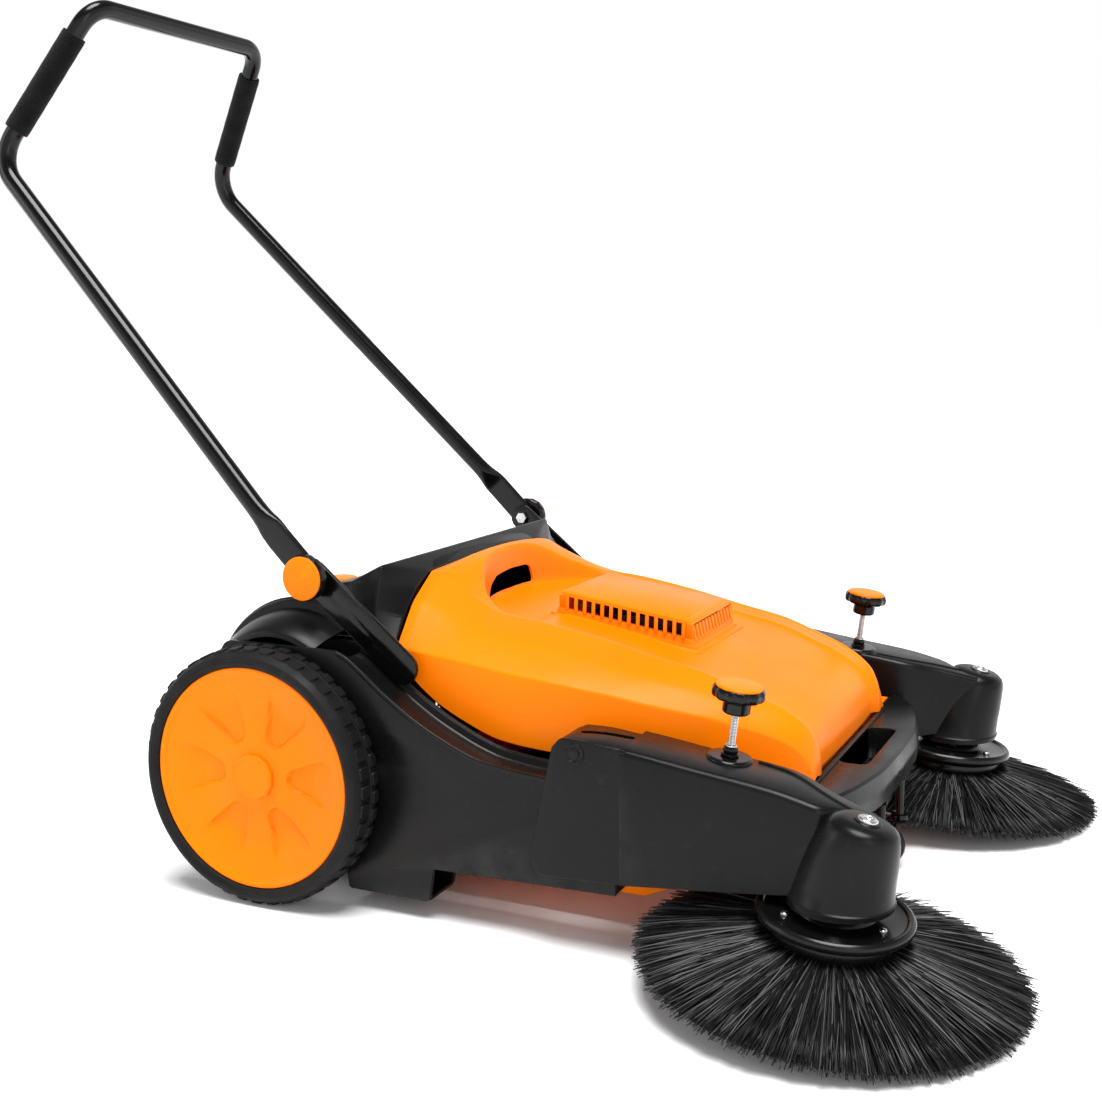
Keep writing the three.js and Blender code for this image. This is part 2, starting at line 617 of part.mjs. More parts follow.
// ---------------------------------------------------------------- side brush arms
function arms() {
  const profile = outline([
    [345, 80], [338, 101], [364, 222], [374, 233], [400, 232], [440, 228], [600, 206], [712, 178],
    [712, 116], [640, 106], [560, 96], [440, 84],
  ]);
  const planOuter = outline([
    [440, 340], [646, 340], [690, 366], [726, 340], [712, 302], [640, 276], [612, 262], [600, 257], [440, 257],
  ]);
  const planInner = outline([
    [444, 336], [646, 336], [684, 350], [704, 330], [684, 306], [630, 278], [600, 261], [444, 261],
  ]);
  const end = loft(endCylinder(0));
  const endRoom = loft(endCylinder(WALL));
  const box = plateXZ(profile, [250, 380]).intersect(plateXY(planOuter, [60, 240]));
  const lowered = outline([
    [440, 40], [440, 224], [600, 202], [708, 174], [708, 40],
  ]);
  const room = plateXZ(lowered, [250, 380]).intersect(plateXY(planInner, [30, 240]));
  const plate = plateXZ(profile, [335.5, 340]).intersect(block([300, 640], [300, 400], [60, 260]));
  const lid = plateXZ(outline([[372, 230], [376, 233], [400, 232], [445, 227.5], [445, 223.5], [400, 228]]), [275, 338]);
  const pad = join(
    drumZ(24, [KNOB.z - 14, KNOB.z - 1], KNOB.x, KNOB.y, 32),
    leaning(KNOB, 8.5, [-3, 6], 6),
  );
  const bossTop = inBrushFrame(turnedZ([[0, 49], [16, 49], [16, 110], [0, 110]], 12));
  const stud = inBrushFrame(drumZ(5, [30, 120], ...ARM_PULLEY, 10));
  const inside = box.add(end);
  const shell = join(cut(inside, room, endRoom), plate, lid, pad, bossTop.intersect(inside), stud.intersect(inside));
  const cover = cut(
    shell,
    leaning(KNOB, 4 + GAP, [-30, 20], 16),
    inBrushFrame(turnedZ([[0, 0], [SPINDLE_R + 2 * GAP, 0], [SPINDLE_R + 2 * GAP, 83], [0, 83]], 16)),
    leaning({ ...ARM_BOLT, lean: 14 }, 5 + GAP, [-30, 30], 16),
    drumY(ARM_PIVOT.r + GAP, [320, 360], ARM_PIVOT.x, ARM_PIVOT.z),
  );
  pair('arm_cover', cover, BLACK);

  for (const side of SIDES) {
    const bolt = hung(side, ARM_BOLT, 0, 14);
    const head = join(drumZ(10, [-5.2, 0], 0, 0), drumZ(5, [-22, -5], 0, 0, 16));
    add(`${side.name}_arm_bolt`, head, STEEL, bolt);
    const knob = hung(side, KNOB, 0, KNOB.lean);
    const body = join(plateXY(scallopShape(KNOB.r, 12), [58, 73]), drumZ(15, [45, 59], 0, 0));
    add(`${side.name}_height_spindle`, drumZ(4, [-18, 66], 0, 0, 16), STEEL, knob);
    add(`${side.name}_height_knob`, cut(body, drumZ(4 + GAP, [40, 66.3], 0, 0, 16)), BLACK, knob);
    add(`${side.name}_height_knob_cap`, drumZ(24, [73 + GAP, 76], 0, 0, 32), ORANGE, knob);
  }
}

// A round bar on a forward lean, standing at a place on the arm.
function leaning({ x, y, z, lean }, r, [h0, h1], sides) {
  const geometry = new THREE.CylinderGeometry(r, r, h1 - h0, sides).rotateX(Math.PI / 2).translate(0, 0, (h0 + h1) / 2);
  return solid(geometry.rotateY(rad(lean)).translate(x, y, z));
}

// A group standing at a place on one side, leaning outward and forward.
function hung(side, { x, y, z }, outward, forward) {
  const place = new THREE.Group();
  place.position.set(x, side.sign * y, z);
  place.rotation.set(-side.sign * rad(outward), rad(forward), 0);
  group.add(place);
  return place;
}

// Rings of the round end that leans out over the brush.
function endCylinder(t) {
  const rings = [
    { x: 671, y: 325, z: 100 - t * 4, r: 50 - t },
    { x: 675, y: 327, z: 128, r: 46.5 - t },
    { x: 680.5, y: 329.8, z: 168 - t, r: 43 - t },
    { x: 683, y: 331, z: 184 - t, r: 35 - t },
  ];
  return rings.map(({ x, y, z, r }) => {
    const points = [];
    for (let i = 0; i < 18; i += 1) {
      const angle = (i / 18) * Math.PI * 2;
      points.push([x + r * Math.cos(angle), y + r * Math.sin(angle), z - 0.25 * r * Math.cos(angle)]);
    }
    return points;
  });
}

// ---------------------------------------------------------------- side brushes and their belts
// The brush stands on a tilted axis: these are drawn along it, with z = 0 in the plate.
const SPINDLE_R = 9;
const ARM_PULLEY = [-180, -26];
const GROOVE = { low: 36, high: 42.6, deep: 10, flange: 13.5 };

function inBrushFrame(body) {
  const tilt = new THREE.Euler(-rad(BRUSH.outwardTilt), rad(BRUSH.forwardTilt), 0);
  const matrix = new THREE.Matrix4().makeRotationFromEuler(tilt).setPosition(BRUSH.x, BRUSH.y, BRUSH.z);
  return solid(geometryOf(body).applyMatrix4(matrix));
}

function pulleyProfile(bore) {
  const { low, high, deep, flange } = GROOVE;
  return [
    [bore, low - 5], [flange, low - 5], [flange, low], [deep, low], [deep, high],
    [flange, high], [flange, high + 5], [bore, high + 5],
  ];
}

function sideBrushes() {
  const plate = turnedZ([
    [SPINDLE_R + GAP, -15], [60, -15], [60, -5], [76, -4], [78, -2], [78, 5], [75, 6.5],
    [70, 3.5], [38, 3.5], [36, 9], [SPINDLE_R + GAP, 9],
  ], 28);
  const bristles = turnedZ([
    [26, -15 - GAP], [58, -15 - GAP], [200, -54], [200, -62], [158, -60], [26, -24],
  ], 36);
  const spindle = join(
    turnedZ([[0, -16], [SPINDLE_R, -16], [SPINDLE_R, 80], [0, 80]], 12),
    turnedZ(pulleyProfile(SPINDLE_R - 2)),
  );
  const pulley = turnedZ(pulleyProfile(5 + GAP));
  const loop = (r, z) => plateXY(slotShape([0, 0], ARM_PULLEY, r), z, 4);
  const belt = cut(loop(GROOVE.deep + 4, [36.4, 42]), loop(GROOVE.deep + 2 * GAP, [30, 50]));
  for (const side of SIDES) {
    const place = hung(side, BRUSH, BRUSH.outwardTilt, BRUSH.forwardTilt);
    add(`${side.name}_brush_plate`, plate, BLACK_PAINT, place);
    add(`${side.name}_brush_bristles`, bristles, BRISTLE, place);
    add(`${side.name}_brush_spindle`, spindle, STEEL, place);
    add(`${side.name}_arm_belt`, handed(belt, side), RUBBER, place);
    const mesh = add(`${side.name}_arm_pulley`, pulley, GREY, place);
    mesh.position.set(ARM_PULLEY[0], side.sign * ARM_PULLEY[1], 0);
  }
}

wheels();
gears();
rollerBrush();
sideFrames();
brushHousing();
rearCover();
hood();
vent();
hopperBin();
frontBumper();
casters();
handle();
handleBrackets();
arms();
sideBrushes();

const box = new THREE.Box3().setFromObject(group);
group.position.x = -(box.min.x + box.max.x) / 2;

export default group;
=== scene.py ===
# A hand-pushed triple-brush sweeper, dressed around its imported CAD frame.
# Shapes are drawn in millimetres from the wheel axle: +X is the way it is pushed, +Y is its left
# side and z = 0 is the floor. Each is drawn for the left side and mirrored for the right.
import json
import math

import bmesh
import bpy
import numpy as np
from mathutils import Matrix, Vector


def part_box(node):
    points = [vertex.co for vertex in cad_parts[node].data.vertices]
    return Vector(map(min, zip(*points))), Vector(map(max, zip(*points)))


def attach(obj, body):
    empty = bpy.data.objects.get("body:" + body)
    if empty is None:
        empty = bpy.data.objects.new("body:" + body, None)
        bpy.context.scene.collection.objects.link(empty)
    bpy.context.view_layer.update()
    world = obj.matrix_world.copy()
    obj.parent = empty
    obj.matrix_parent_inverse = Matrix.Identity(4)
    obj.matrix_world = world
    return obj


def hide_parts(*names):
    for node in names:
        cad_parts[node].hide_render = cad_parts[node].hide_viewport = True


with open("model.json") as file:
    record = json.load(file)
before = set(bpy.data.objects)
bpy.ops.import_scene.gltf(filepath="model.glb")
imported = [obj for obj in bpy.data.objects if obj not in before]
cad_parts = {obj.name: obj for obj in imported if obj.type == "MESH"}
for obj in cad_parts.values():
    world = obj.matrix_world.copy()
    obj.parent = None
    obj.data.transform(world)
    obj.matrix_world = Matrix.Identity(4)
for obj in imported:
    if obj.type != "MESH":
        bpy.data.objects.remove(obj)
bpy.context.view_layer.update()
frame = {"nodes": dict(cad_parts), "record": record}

MM = 0.001
TYRE_LOW, TYRE_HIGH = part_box("left_tyre")
AXLE_X = (TYRE_LOW.x + TYRE_HIGH.x) / 2
SIDES = {"left": 1, "right": -1}
BODY_OF = {n: b for b, nodes in frame["record"]["behaviour"]["bodies"].items() for n in nodes}
SLOT_OF = {s["node"]: s["material_slot"] for s in frame["record"]["subparts"]}

WHEEL_R = 150
HOUSING = {"x": 0, "z": 214, "r": 124}
PIVOT = (32.1, 284.7, 371.3)
HANDLE_CORNERS = [(-475.0, 227.6, 876.9), (-351.1, 175.1, 1068.2)]
TUBE_R = 12
KNOB = {"at": (538.4, 280.7, 218.6), "lean": 7.6}
ARM_BOLT = {"at": (693.2, 334.4, 190.4), "lean": 14}
BRUSH = {"at": (658, 316, 82), "forward": 5, "outward": 2}
ARM_PIVOT = (390, 218)


# ---------------------------------------------------------------- finishes
class Finish:
    """A node material made step by step around one Principled shader."""

    def __init__(self, name):
        self.material = bpy.data.materials.new(name)
        self.material.use_nodes = True
        self.nodes = self.material.node_tree.nodes
        self.links = self.material.node_tree.links
        self.shader = self.nodes["Principled BSDF"]
        self.coords = self.nodes.new("ShaderNodeTexCoord")

    def noise(self, scale, detail=3.0, stretch=(1, 1, 1)):
        mapping = self.nodes.new("ShaderNodeMapping")
        mapping.inputs["Scale"].default_value = stretch
        self.links.new(self.coords.outputs["Object"], mapping.inputs["Vector"])
        texture = self.nodes.new("ShaderNodeTexNoise")
        texture.inputs["Scale"].default_value = scale
        texture.inputs["Detail"].default_value = detail
        self.links.new(mapping.outputs["Vector"], texture.inputs["Vector"])
        return texture.outputs["Fac"]

    def ramp(self, value, stops):
        node = self.nodes.new("ShaderNodeValToRGB")
        while len(node.color_ramp.elements) < len(stops):
            node.color_ramp.elements.new(0.5)
        for element, (position, colour) in zip(node.color_ramp.elements, stops):
            element.position = position
            element.color = (*colour, 1) if isinstance(colour, tuple) else (colour,) * 3 + (1,)
        self.links.new(value, node.inputs["Fac"])
        return node.outputs["Color"]

    def mix(self, factor, under, over):
        node = self.nodes.new("ShaderNodeMix")
        node.data_type = "RGBA"
        self.links.new(factor, node.inputs["Factor"])
        self.links.new(under, node.inputs["A"])
        self.links.new(over, node.inputs["B"])
        return node.outputs["Result"]

    def colour(self, value):
        self.links.new(value, self.shader.inputs["Base Color"])

    def roughness(self, value):
        self.links.new(value, self.shader.inputs["Roughness"])

    def bump(self, height, distance_mm, strength=1.0):
        node = self.nodes.new("ShaderNodeBump")
        node.inputs["Strength"].default_value = strength
        node.inputs["Distance"].default_value = distance_mm * MM
        self.links.new(height, node.inputs["Height"])
        previous = self.shader.inputs["Normal"].links
        if previous:
            self.links.new(previous[0].from_socket, node.inputs["Normal"])
        self.links.new(node.outputs["Normal"], self.shader.inputs["Normal"])

    def set(self, **values):
        for name, value in values.items():
            self.shader.inputs[name.replace("_", " ").title().replace("Ior", "IOR")].default_value = value
        return self

    def edge_wear(self, base, worn, low=0.58, high=0.70):
        """Lighter, rubbed colour where the surface turns sharply outwards."""
        geometry = self.nodes.new("ShaderNodeNewGeometry")
        sharp = self.ramp(geometry.outputs["Pointiness"], [(low, 0.0), (high, 1.0)])
        return self.mix(sharp, base, worn)


def moulded(name, light, dark, rough, grain_mm, grain_scale, wear=None, dust=0.0, shine=0.5):
    """Moulded plastic: slow colour drift, patchy gloss, a fine surface grain and rubbed edges."""
    f = Finish(name)
    drift = f.ramp(f.noise(5.0), [(0.3, dark), (0.7, light)])
    if dust:
        speck = f.ramp(f.noise(70.0, 6.0), [(0.62, 0.0), (0.74, dust)])
        drift = f.mix(speck, drift, f.ramp(f.noise(3.0), [(0.0, (0.25, 0.24, 0.22)),
                (1.0, (0.3, 0.29, 0.27))]))
    if wear:
        drift = f.edge_wear(drift, f.ramp(f.noise(40.0), [(0.3, dark), (0.7, wear)]))
    f.colour(drift)
    f.roughness(f.ramp(f.noise(14.0, 5.0), [(0.3, rough[0]), (0.7, rough[1])]))
    f.bump(f.noise(grain_scale, 2.0), grain_mm)
    f.bump(f.noise(9.0, 1.0), 0.25, 0.35)
    f.set(specular_ior_level=shine)
    return f.material


def powder_coat():
    f = Finish("powder_coat")
    base = f.ramp(f.noise(6.0), [(0.3, (0.0015, 0.0015, 0.0017)), (0.7, (0.003, 0.003, 0.0032))])
    f.colour(f.edge_wear(base, f.ramp(f.noise(60.0), [(0.4, 0.01), (0.7, 0.08)])))
    f.roughness(f.ramp(f.noise(20.0, 4.0), [(0.3, 0.13), (0.7, 0.20)]))
    f.bump(f.noise(420.0, 1.5), 0.05)
    f.set(coat_weight=0.06, coat_roughness=0.05, specular_ior_level=0.24)
    return f.material


def plated_steel():
    f = Finish("plated_steel")
    f.colour(f.ramp(f.noise(25.0, 4.0), [(0.3, (0.50, 0.50, 0.51)), (0.7, (0.76, 0.76, 0.78))]))
    f.roughness(f.ramp(f.noise(60.0, 4.0), [(0.3, 0.16), (0.7, 0.34)]))
    f.bump(f.noise(300.0, 2.0, (1, 1, 8)), 0.03)
    f.set(metallic=1.0)
    return f.material


def tyre_rubber():
    f = Finish("tyre_rubber")
    base = f.ramp(f.noise(12.0, 5.0), [(0.3, (0.004, 0.004, 0.004)), (0.7, (0.008, 0.008, 0.008))])
    dusty = f.ramp(f.noise(45.0, 7.0), [(0.58, 0.0), (0.82, 0.18)])
    f.colour(f.mix(dusty, base, f.ramp(f.noise(4.0), [(0.0, 0.035), (1.0, 0.06)])))
    f.roughness(f.ramp(f.noise(30.0, 4.0), [(0.3, 0.46), (0.7, 0.66)]))
    f.bump(f.noise(350.0, 3.0), 0.12)
    f.set(specular_ior_level=0.16)
    return f.material


def foam_sleeve():
    f = Finish("foam_sleeve")
    f.colour(f.ramp(f.noise(40.0, 5.0), [(0.3, (0.003, 0.003, 0.003)), (0.7, (0.008, 0.008, 0.008))]))
    f.roughness(f.ramp(f.noise(80.0), [(0.3, 0.86), (0.7, 0.98)]))
    pore = f.nodes.new("ShaderNodeTexVoronoi")
    pore.inputs["Scale"].default_value = 420.0
    f.links.new(f.coords.outputs["Object"], pore.inputs["Vector"])
    f.bump(pore.outputs["Distance"], 0.6)
    f.bump(f.noise(60.0, 3.0), 0.7)
    f.set(sheen_weight=0.06, sheen_roughness=0.5, specular_ior_level=0.1)
    return f.material


def bristle_fibre():
    """Each strand carries its own shade, so neighbours stand apart."""
    f = Finish("bristle_fibre")
    shade = f.nodes.new("ShaderNodeAttribute")
    shade.attribute_name = "strand_shade"
    f.colour(f.ramp(shade.outputs["Fac"], [(0.0, (0.002, 0.002, 0.002)), (0.62, (0.007, 0.007, 0.0075)),
            (1.0, (0.11, 0.11, 0.115))]))
    f.roughness(f.ramp(f.noise(30.0, 3.0), [(0.3, 0.28), (0.7, 0.46)]))
    f.bump(f.noise(500.0, 1.0), 0.05)
    f.set(specular_ior_level=0.24)
    return f.material


MATERIALS = {"orange_plastic": moulded("orange_plastic", (1.0, 0.212, 0.0), (0.99, 0.185, 0.0),
        (0.28, 0.40), 0.02, 500.0, wear=(1.0, 0.30, 0.01), shine=0.10),
        "black_plastic": moulded("black_plastic", (0.0052, 0.0050, 0.0050), (0.0032, 0.0031, 0.0031),
        (0.24, 0.36), 0.05, 700.0, wear=(0.035, 0.035, 0.035), dust=0.015, shine=0.18),
        "black_gloss": moulded("black_gloss", (0.004, 0.004, 0.004), (0.002, 0.002, 0.002),
        (0.14, 0.24), 0.02, 400.0, wear=(0.03, 0.03, 0.03), shine=0.26),
        "gear_plastic": moulded("gear_plastic", (0.09, 0.09, 0.095), (0.06, 0.06, 0.065), (0.45, 0.6),
        0.05, 500.0), "black_paint": powder_coat(), "steel": plated_steel(),
        "tyre_rubber": tyre_rubber(), "belt_rubber": tyre_rubber(), "foam": foam_sleeve(),
        "bristle": bristle_fibre(),}


# ---------------------------------------------------------------- shapes: (points in mm, faces)
def rounded(corners, radii, steps=6, closed=True):
    """A polyline in the plane with each corner turned into an arc of its own radius."""
    p = [np.array(c, float) for c in corners]
    n = len(p)
    radii = [radii] * n if np.isscalar(radii) else radii
    made = []
    for i in range(n):
        if (not closed and i in (0, n - 1)) or radii[i] <= 0:
            made.append(p[i])
            continue
        before, here, after = p[i - 1], p[i], p[(i + 1) % n]
        u, v = before - here, after - here
        lu, lv = np.linalg.norm(u), np.linalg.norm(v)
        u, v = u / lu, v / lv
        half = math.acos(np.clip(u @ v, -1, 1)) / 2
        if half > math.pi / 2 - 0.02:
            made.append(here)
            continue
        reach = min(radii[i] / math.tan(half), 0.48 * lu, 0.48 * lv)
        a, b = here + u * reach, here + v * reach
        for k in range(steps + 1):
            t = k / steps
            made.append((1 - t) ** 2 * a + 2 * t * (1 - t) * (here * 0.62 + (a + b) / 2 * 0.38)
                    + t ** 2 * b)
    return np.array(made)


def monotone(knots, values, at):
    """A smooth curve through the knots that never overshoots them."""
    x, y, at = np.asarray(knots, float), np.asarray(values, float), np.asarray(at, float)
    h, d = np.diff(x), np.diff(y) / np.diff(x)
    m = np.zeros(len(x))
    m[0], m[-1] = d[0], d[-1]
    for i in range(1, len(x) - 1):
        if d[i - 1] * d[i] > 0:
            w1, w2 = 2 * h[i] + h[i - 1], h[i] + 2 * h[i - 1]
            m[i] = (w1 + w2) / (w1 / d[i - 1] + w2 / d[i])
    k = np.clip(np.searchsorted(x, at) - 1, 0, len(x) - 2)
    t = np.clip((at - x[k]) / h[k], 0, 1)
    return ((1 + 2 * t) * (1 - t) ** 2 * y[k] + t * (1 - t) ** 2 * h[k] * m[k]
            + t * t * (3 - 2 * t) * y[k + 1] + t * t * (t - 1) * h[k] * m[k + 1])


def smoothstep(t):
    t = np.clip(t, 0, 1)
    return t * t * (3 - 2 * t)


def surface(rows, around=False, along=False, caps=False):
    """Quads over rows of points; around closes each row, along joins the last row to the first."""
    rows = np.asarray(rows, float)
    n, m = rows.shape[:2]
    faces = []
    for i in range(n if along else n - 1):
        for j in range(m if around else m - 1):
            a, b = i * m + j, i * m + (j + 1) % m
            c, d = ((i + 1) % n) * m + (j + 1) % m, ((i + 1) % n) * m + j
            faces.append((a, b, c, d))
    if caps:
        faces.append(tuple(range(m))[::-1])
        faces.append(tuple((n - 1) * m + j for j in range(m)))
    return rows.reshape(-1, 3), faces


def turned(profile, steps=48):
    """A closed profile of (radius, height) turned about Z."""
    angles = np.linspace(0, 2 * math.pi, steps, endpoint=False)
    rows = [[(r * math.cos(a), r * math.sin(a), h) for r, h in profile] for a in angles]
    return surface(rows, around=True, along=True)


def lathe(corners, eases, arc_steps, steps):
    """A closed profile turned about Z, with an arc of its own at each corner."""
    return turned(rounded(corners, eases, arc_steps), steps)


def about_y(shape, x=0.0, z=0.0):
    """A shape drawn about Z stood about the Y axis that passes through (x, z)."""
    points, faces = shape
    p = np.asarray(points)
    return np.stack([p[:, 0] + x, p[:, 2], -p[:, 1] + z], 1), faces


def plate_xz(outline, y0, y1):
    rows = [[(x, y, z) for x, z in outline] for y in (y0, y1)]
    return surface(rows, around=True, caps=True)


def plate_xy(outline, z0, z1):
    rows = [[(x, y, z) for x, y in outline] for z in (z0, z1)]
    return surface(rows, around=True, caps=True)


def plate_yz(outline, x0, x1):
    rows = [[(x, y, z) for y, z in outline] for x in (x0, x1)]
    return surface(rows, around=True, caps=True)


def block(x, y, z):
    return plate_xy([(x[0], y[0]), (x[1], y[0]), (x[1], y[1]), (x[0], y[1])], *z)


def capsule(a, b, r, steps=12):
    """The outline of a slot with round ends."""
    (ax, ay), (bx, by) = a, b
    angle = math.atan2(by - ay, bx - ax)
    ends = [(bx, by, angle - math.pi / 2), (ax, ay, angle + math.pi / 2)]
    return [(x + r * math.cos(s + math.pi * k / steps), y + r * math.sin(s + math.pi * k / steps))
            for x, y, s in ends for k in range(steps + 1)]


def together(*shapes):
    points, faces, offset = [], [], 0
    for p, f in shapes:
        points.append(np.asarray(p, float))
        faces += [tuple(i + offset for i in face) for face in f]
        offset += len(p)
    return np.concatenate(points), faces


def moved(shape, matrix):
    points, faces = shape
    m = np.array(matrix)
    return np.asarray(points) @ m[:3, :3].T + m[:3, 3], faces


def on_side(shape, sign):
    """The left-hand shape, or its mirror image."""
    if sign > 0:
        return shape
    points, faces = shape
    return np.asarray(points) * (1, -1, 1), [tuple(reversed(f)) for f in faces]


def standing(at, sign, forward, outward=0.0):
    """Where a leaning knob, bolt or brush stands on one side."""
    x, y, z = at
    lean_out = Matrix.Rotation(-sign * math.radians(outward), 4, "X")
    lean_forward = Matrix.Rotation(math.radians(forward), 4, "Y")
    return Matrix.Translation((x, sign * y, z)) @ (lean_out @ lean_forward)


def tube(path, radius, steps=16, width=None, thickness_axis=None):
    """A ring swept along a path; width and radius may change along it."""
    path = np.asarray(path, float)
    n = len(path)
    radii = np.full(n, radius) if np.isscalar(radius) else np.asarray(radius, float)
    widths = radii if width is None else np.asarray(width, float)
    tangents = np.gradient(path, axis=0)
    tangents /= np.linalg.norm(tangents, axis=1)[:, None]
    normal = np.array(thickness_axis if thickness_axis is not None else (0, 0, 1), float)
    rows = []
    for i in range(n):
        normal = normal - tangents[i] * (normal @ tangents[i])
        normal /= np.linalg.norm(normal)
        across = np.cross(tangents[i], normal)
        flat = np.clip((widths[i] / max(radii[i], 1e-6) - 1) / 1.5, 0, 1)
        power = 1 - 0.55 * flat
        row = []
        for k in range(steps):
            a = 2 * math.pi * k / steps
            c, s = math.cos(a), math.sin(a)
            u = math.copysign(abs(c) ** power, c) * radii[i]
            v = math.copysign(abs(s) ** power, s) * widths[i]
            row.append(path[i] + normal * u + across * v)
        rows.append(row)
    return surface(rows, around=True, caps=True)


# ---------------------------------------------------------------- pieces
def mesh_of(name, shape, doubles_mm=0.002):
    points, faces = shape
    p = np.asarray(points, float) * MM
    p[:, 0] += AXLE_X
    mesh = bpy.data.meshes.new(name)
    mesh.from_pydata(p.tolist(), [], [list(f) for f in faces])
    bm = bmesh.new()
    bm.from_mesh(mesh)
    bmesh.ops.remove_doubles(bm, verts=bm.verts, dist=doubles_mm * MM)
    bmesh.ops.dissolve_degenerate(bm, edges=bm.edges, dist=doubles_mm * MM / 2)
    bmesh.ops.recalc_face_normals(bm, faces=bm.faces)
    bm.to_mesh(mesh)
    bm.free()
    return mesh


def linked(name, mesh):
    obj = bpy.data.objects.new(name, mesh)
    bpy.context.scene.collection.objects.link(obj)
    return obj


def settle(obj):
    """The object with its modifiers worked into a plain mesh."""
    graph = bpy.context.evaluated_depsgraph_get()
    mesh = bpy.data.meshes.new_from_object(obj.evaluated_get(graph), preserve_all_data_layers=True,
            depsgraph=graph)
    obj.modifiers.clear()
    obj.data = mesh
    return obj


def carve(obj, *cutters):
    """Cuts shapes out of a closed object."""
    for i, cutter in enumerate(cutters):
        tool = linked(f"{obj.name}_tool_{i}", mesh_of("tool", cutter))
        cut = obj.modifiers.new("cut", "BOOLEAN")
        cut.operation, cut.object, cut.solver = "DIFFERENCE", tool, "EXACT"
        settle(obj)
        bpy.data.objects.remove(tool)
    return obj


def soften(obj, width_mm, segments=3, angle=32):
    if width_mm:
        edge = obj.modifiers.new("edge", "BEVEL")
        edge.width, edge.segments, edge.limit_method = width_mm * MM, segments, "ANGLE"
        edge.angle_limit = math.radians(angle)
        edge.use_clamp_overlap = True
        edge.miter_outer = "MITER_ARC"
        settle(obj)
    return obj


def finished(obj, node, body=None, slot=None, replaces=(), smooth=38, material=None):
    """Shades a piece, gives it its finish and hands it to its CAD body."""
    slot = slot or SLOT_OF[node]
    obj.data.materials.clear()
    obj.data.materials.append(material or MATERIALS[slot])
    obj.data.shade_smooth()
    if smooth:
        obj.data.set_sharp_from_angle(angle=math.radians(smooth))
    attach(obj, body or BODY_OF[node])
    for name in replaces:
        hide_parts(name)
    return obj


def piece(name, shape, node, edge=0.0, replaces=None, cuts=(), **options):
    """One finished piece; it stands for its CAD node unless told otherwise."""
    obj = linked(name, mesh_of(name, shape))
    if cuts:
        carve(obj, *cuts)
    soften(obj, edge)
    return finished(obj, node, replaces=[node] if replaces is None else replaces, **options)


def softened_node(node, edge, smooth=38):
    """A copy of a CAD node with its edges rounded."""
    mesh = frame["nodes"][node].data.copy()
    bm = bmesh.new()
    bm.from_mesh(mesh)
    bmesh.ops.remove_doubles(bm, verts=bm.verts, dist=1e-5)
    bmesh.ops.dissolve_limit(bm, angle_limit=math.radians(1.0), verts=bm.verts, edges=bm.edges)
    bm.to_mesh(mesh)
    bm.free()
    obj = linked(node + "_body", mesh)
    soften(obj, edge)
    return finished(obj, node, replaces=[node], smooth=smooth)


# ---------------------------------------------------------------- repeats, grown by Geometry Nodes
class Tree:
    """A Geometry Nodes tree with named inputs."""

    def __init__(self, name, inputs):
        self.group = bpy.data.node_groups.new(name, "GeometryNodeTree")
        face = self.group.interface
        face.new_socket("Geometry", in_out="INPUT", socket_type="NodeSocketGeometry")
        self.sockets = {}
        for label, kind in inputs.items():
            socket = face.new_socket(label, in_out="INPUT", socket_type="NodeSocket" + kind)
            self.sockets[label] = socket.identifier
        face.new_socket("Geometry", in_out="OUTPUT", socket_type="NodeSocketGeometry")
        self.source = self.group.nodes.new("NodeGroupInput")
        self.sink = self.group.nodes.new("NodeGroupOutput")

    def node(self, kind, links=None, **settings):
        made = self.group.nodes.new(kind)
        for name, value in settings.items():
            setattr(made, name, value)
        for socket, value in (links or {}).items():
            target = made.inputs[socket]
            if isinstance(value, bpy.types.NodeSocket):
                self.group.links.new(value, target)
            else:
                target.default_value = value
        return made

    def math(self, operation, a, b=0.0):
        return self.node("ShaderNodeMath", {0: a, 1: b}, operation=operation).outputs[0]

    def random(self, low, high, seed, index):
        made = self.node("FunctionNodeRandomValue", data_type="FLOAT")
        for socket, value in ((2, low), (3, high), ("ID", index), ("Seed", seed)):
            if isinstance(value, bpy.types.NodeSocket):
                self.group.links.new(value, made.inputs[socket])
            else:
                made.inputs[socket].default_value = value
        return made.outputs[1]

    def vector(self, x, y, z):
        return self.node("ShaderNodeCombineXYZ", {"X": x, "Y": y, "Z": z}).outputs[0]

    def finish(self, points, instance, rotation, scale, shade=None):
        placed = self.node("GeometryNodeInstanceOnPoints", {"Points": points, "Instance": instance,
                "Rotation": rotation, "Scale": scale})
        geometry = placed.outputs["Instances"]
        if shade is not None:
            kept = self.node("GeometryNodeStoreNamedAttribute", {"Geometry": geometry,
                    "Name": "strand_shade", "Value": shade}, data_type="FLOAT", domain="INSTANCE")
            geometry = kept.outputs["Geometry"]
        real = self.node("GeometryNodeRealizeInstances", {"Geometry": geometry})
        dressed = self.node("GeometryNodeSetMaterial", {"Geometry": real.outputs["Geometry"],
                "Material": self.source.outputs["Finish"]})
        self.group.links.new(dressed.outputs["Geometry"], self.sink.inputs["Geometry"])


def ring_tree():
    """Copies of the mesh turned evenly about Z."""
    t = Tree("ring_of_copies", {"Count": "Int", "Phase": "Float", "Finish": "Material"})
    g = t.source.outputs
    points = t.node("GeometryNodeMeshLine", {"Count": g["Count"], "Offset": (0, 0, 0)}).outputs["Mesh"]
    index = t.node("GeometryNodeInputIndex").outputs[0]
    step = t.math("DIVIDE", 2 * math.pi, g["Count"])
    angle = t.math("ADD", t.math("MULTIPLY", index, step), g["Phase"])
    t.finish(points, g["Geometry"], t.vector(0.0, 0.0, angle), (1, 1, 1))
    return t


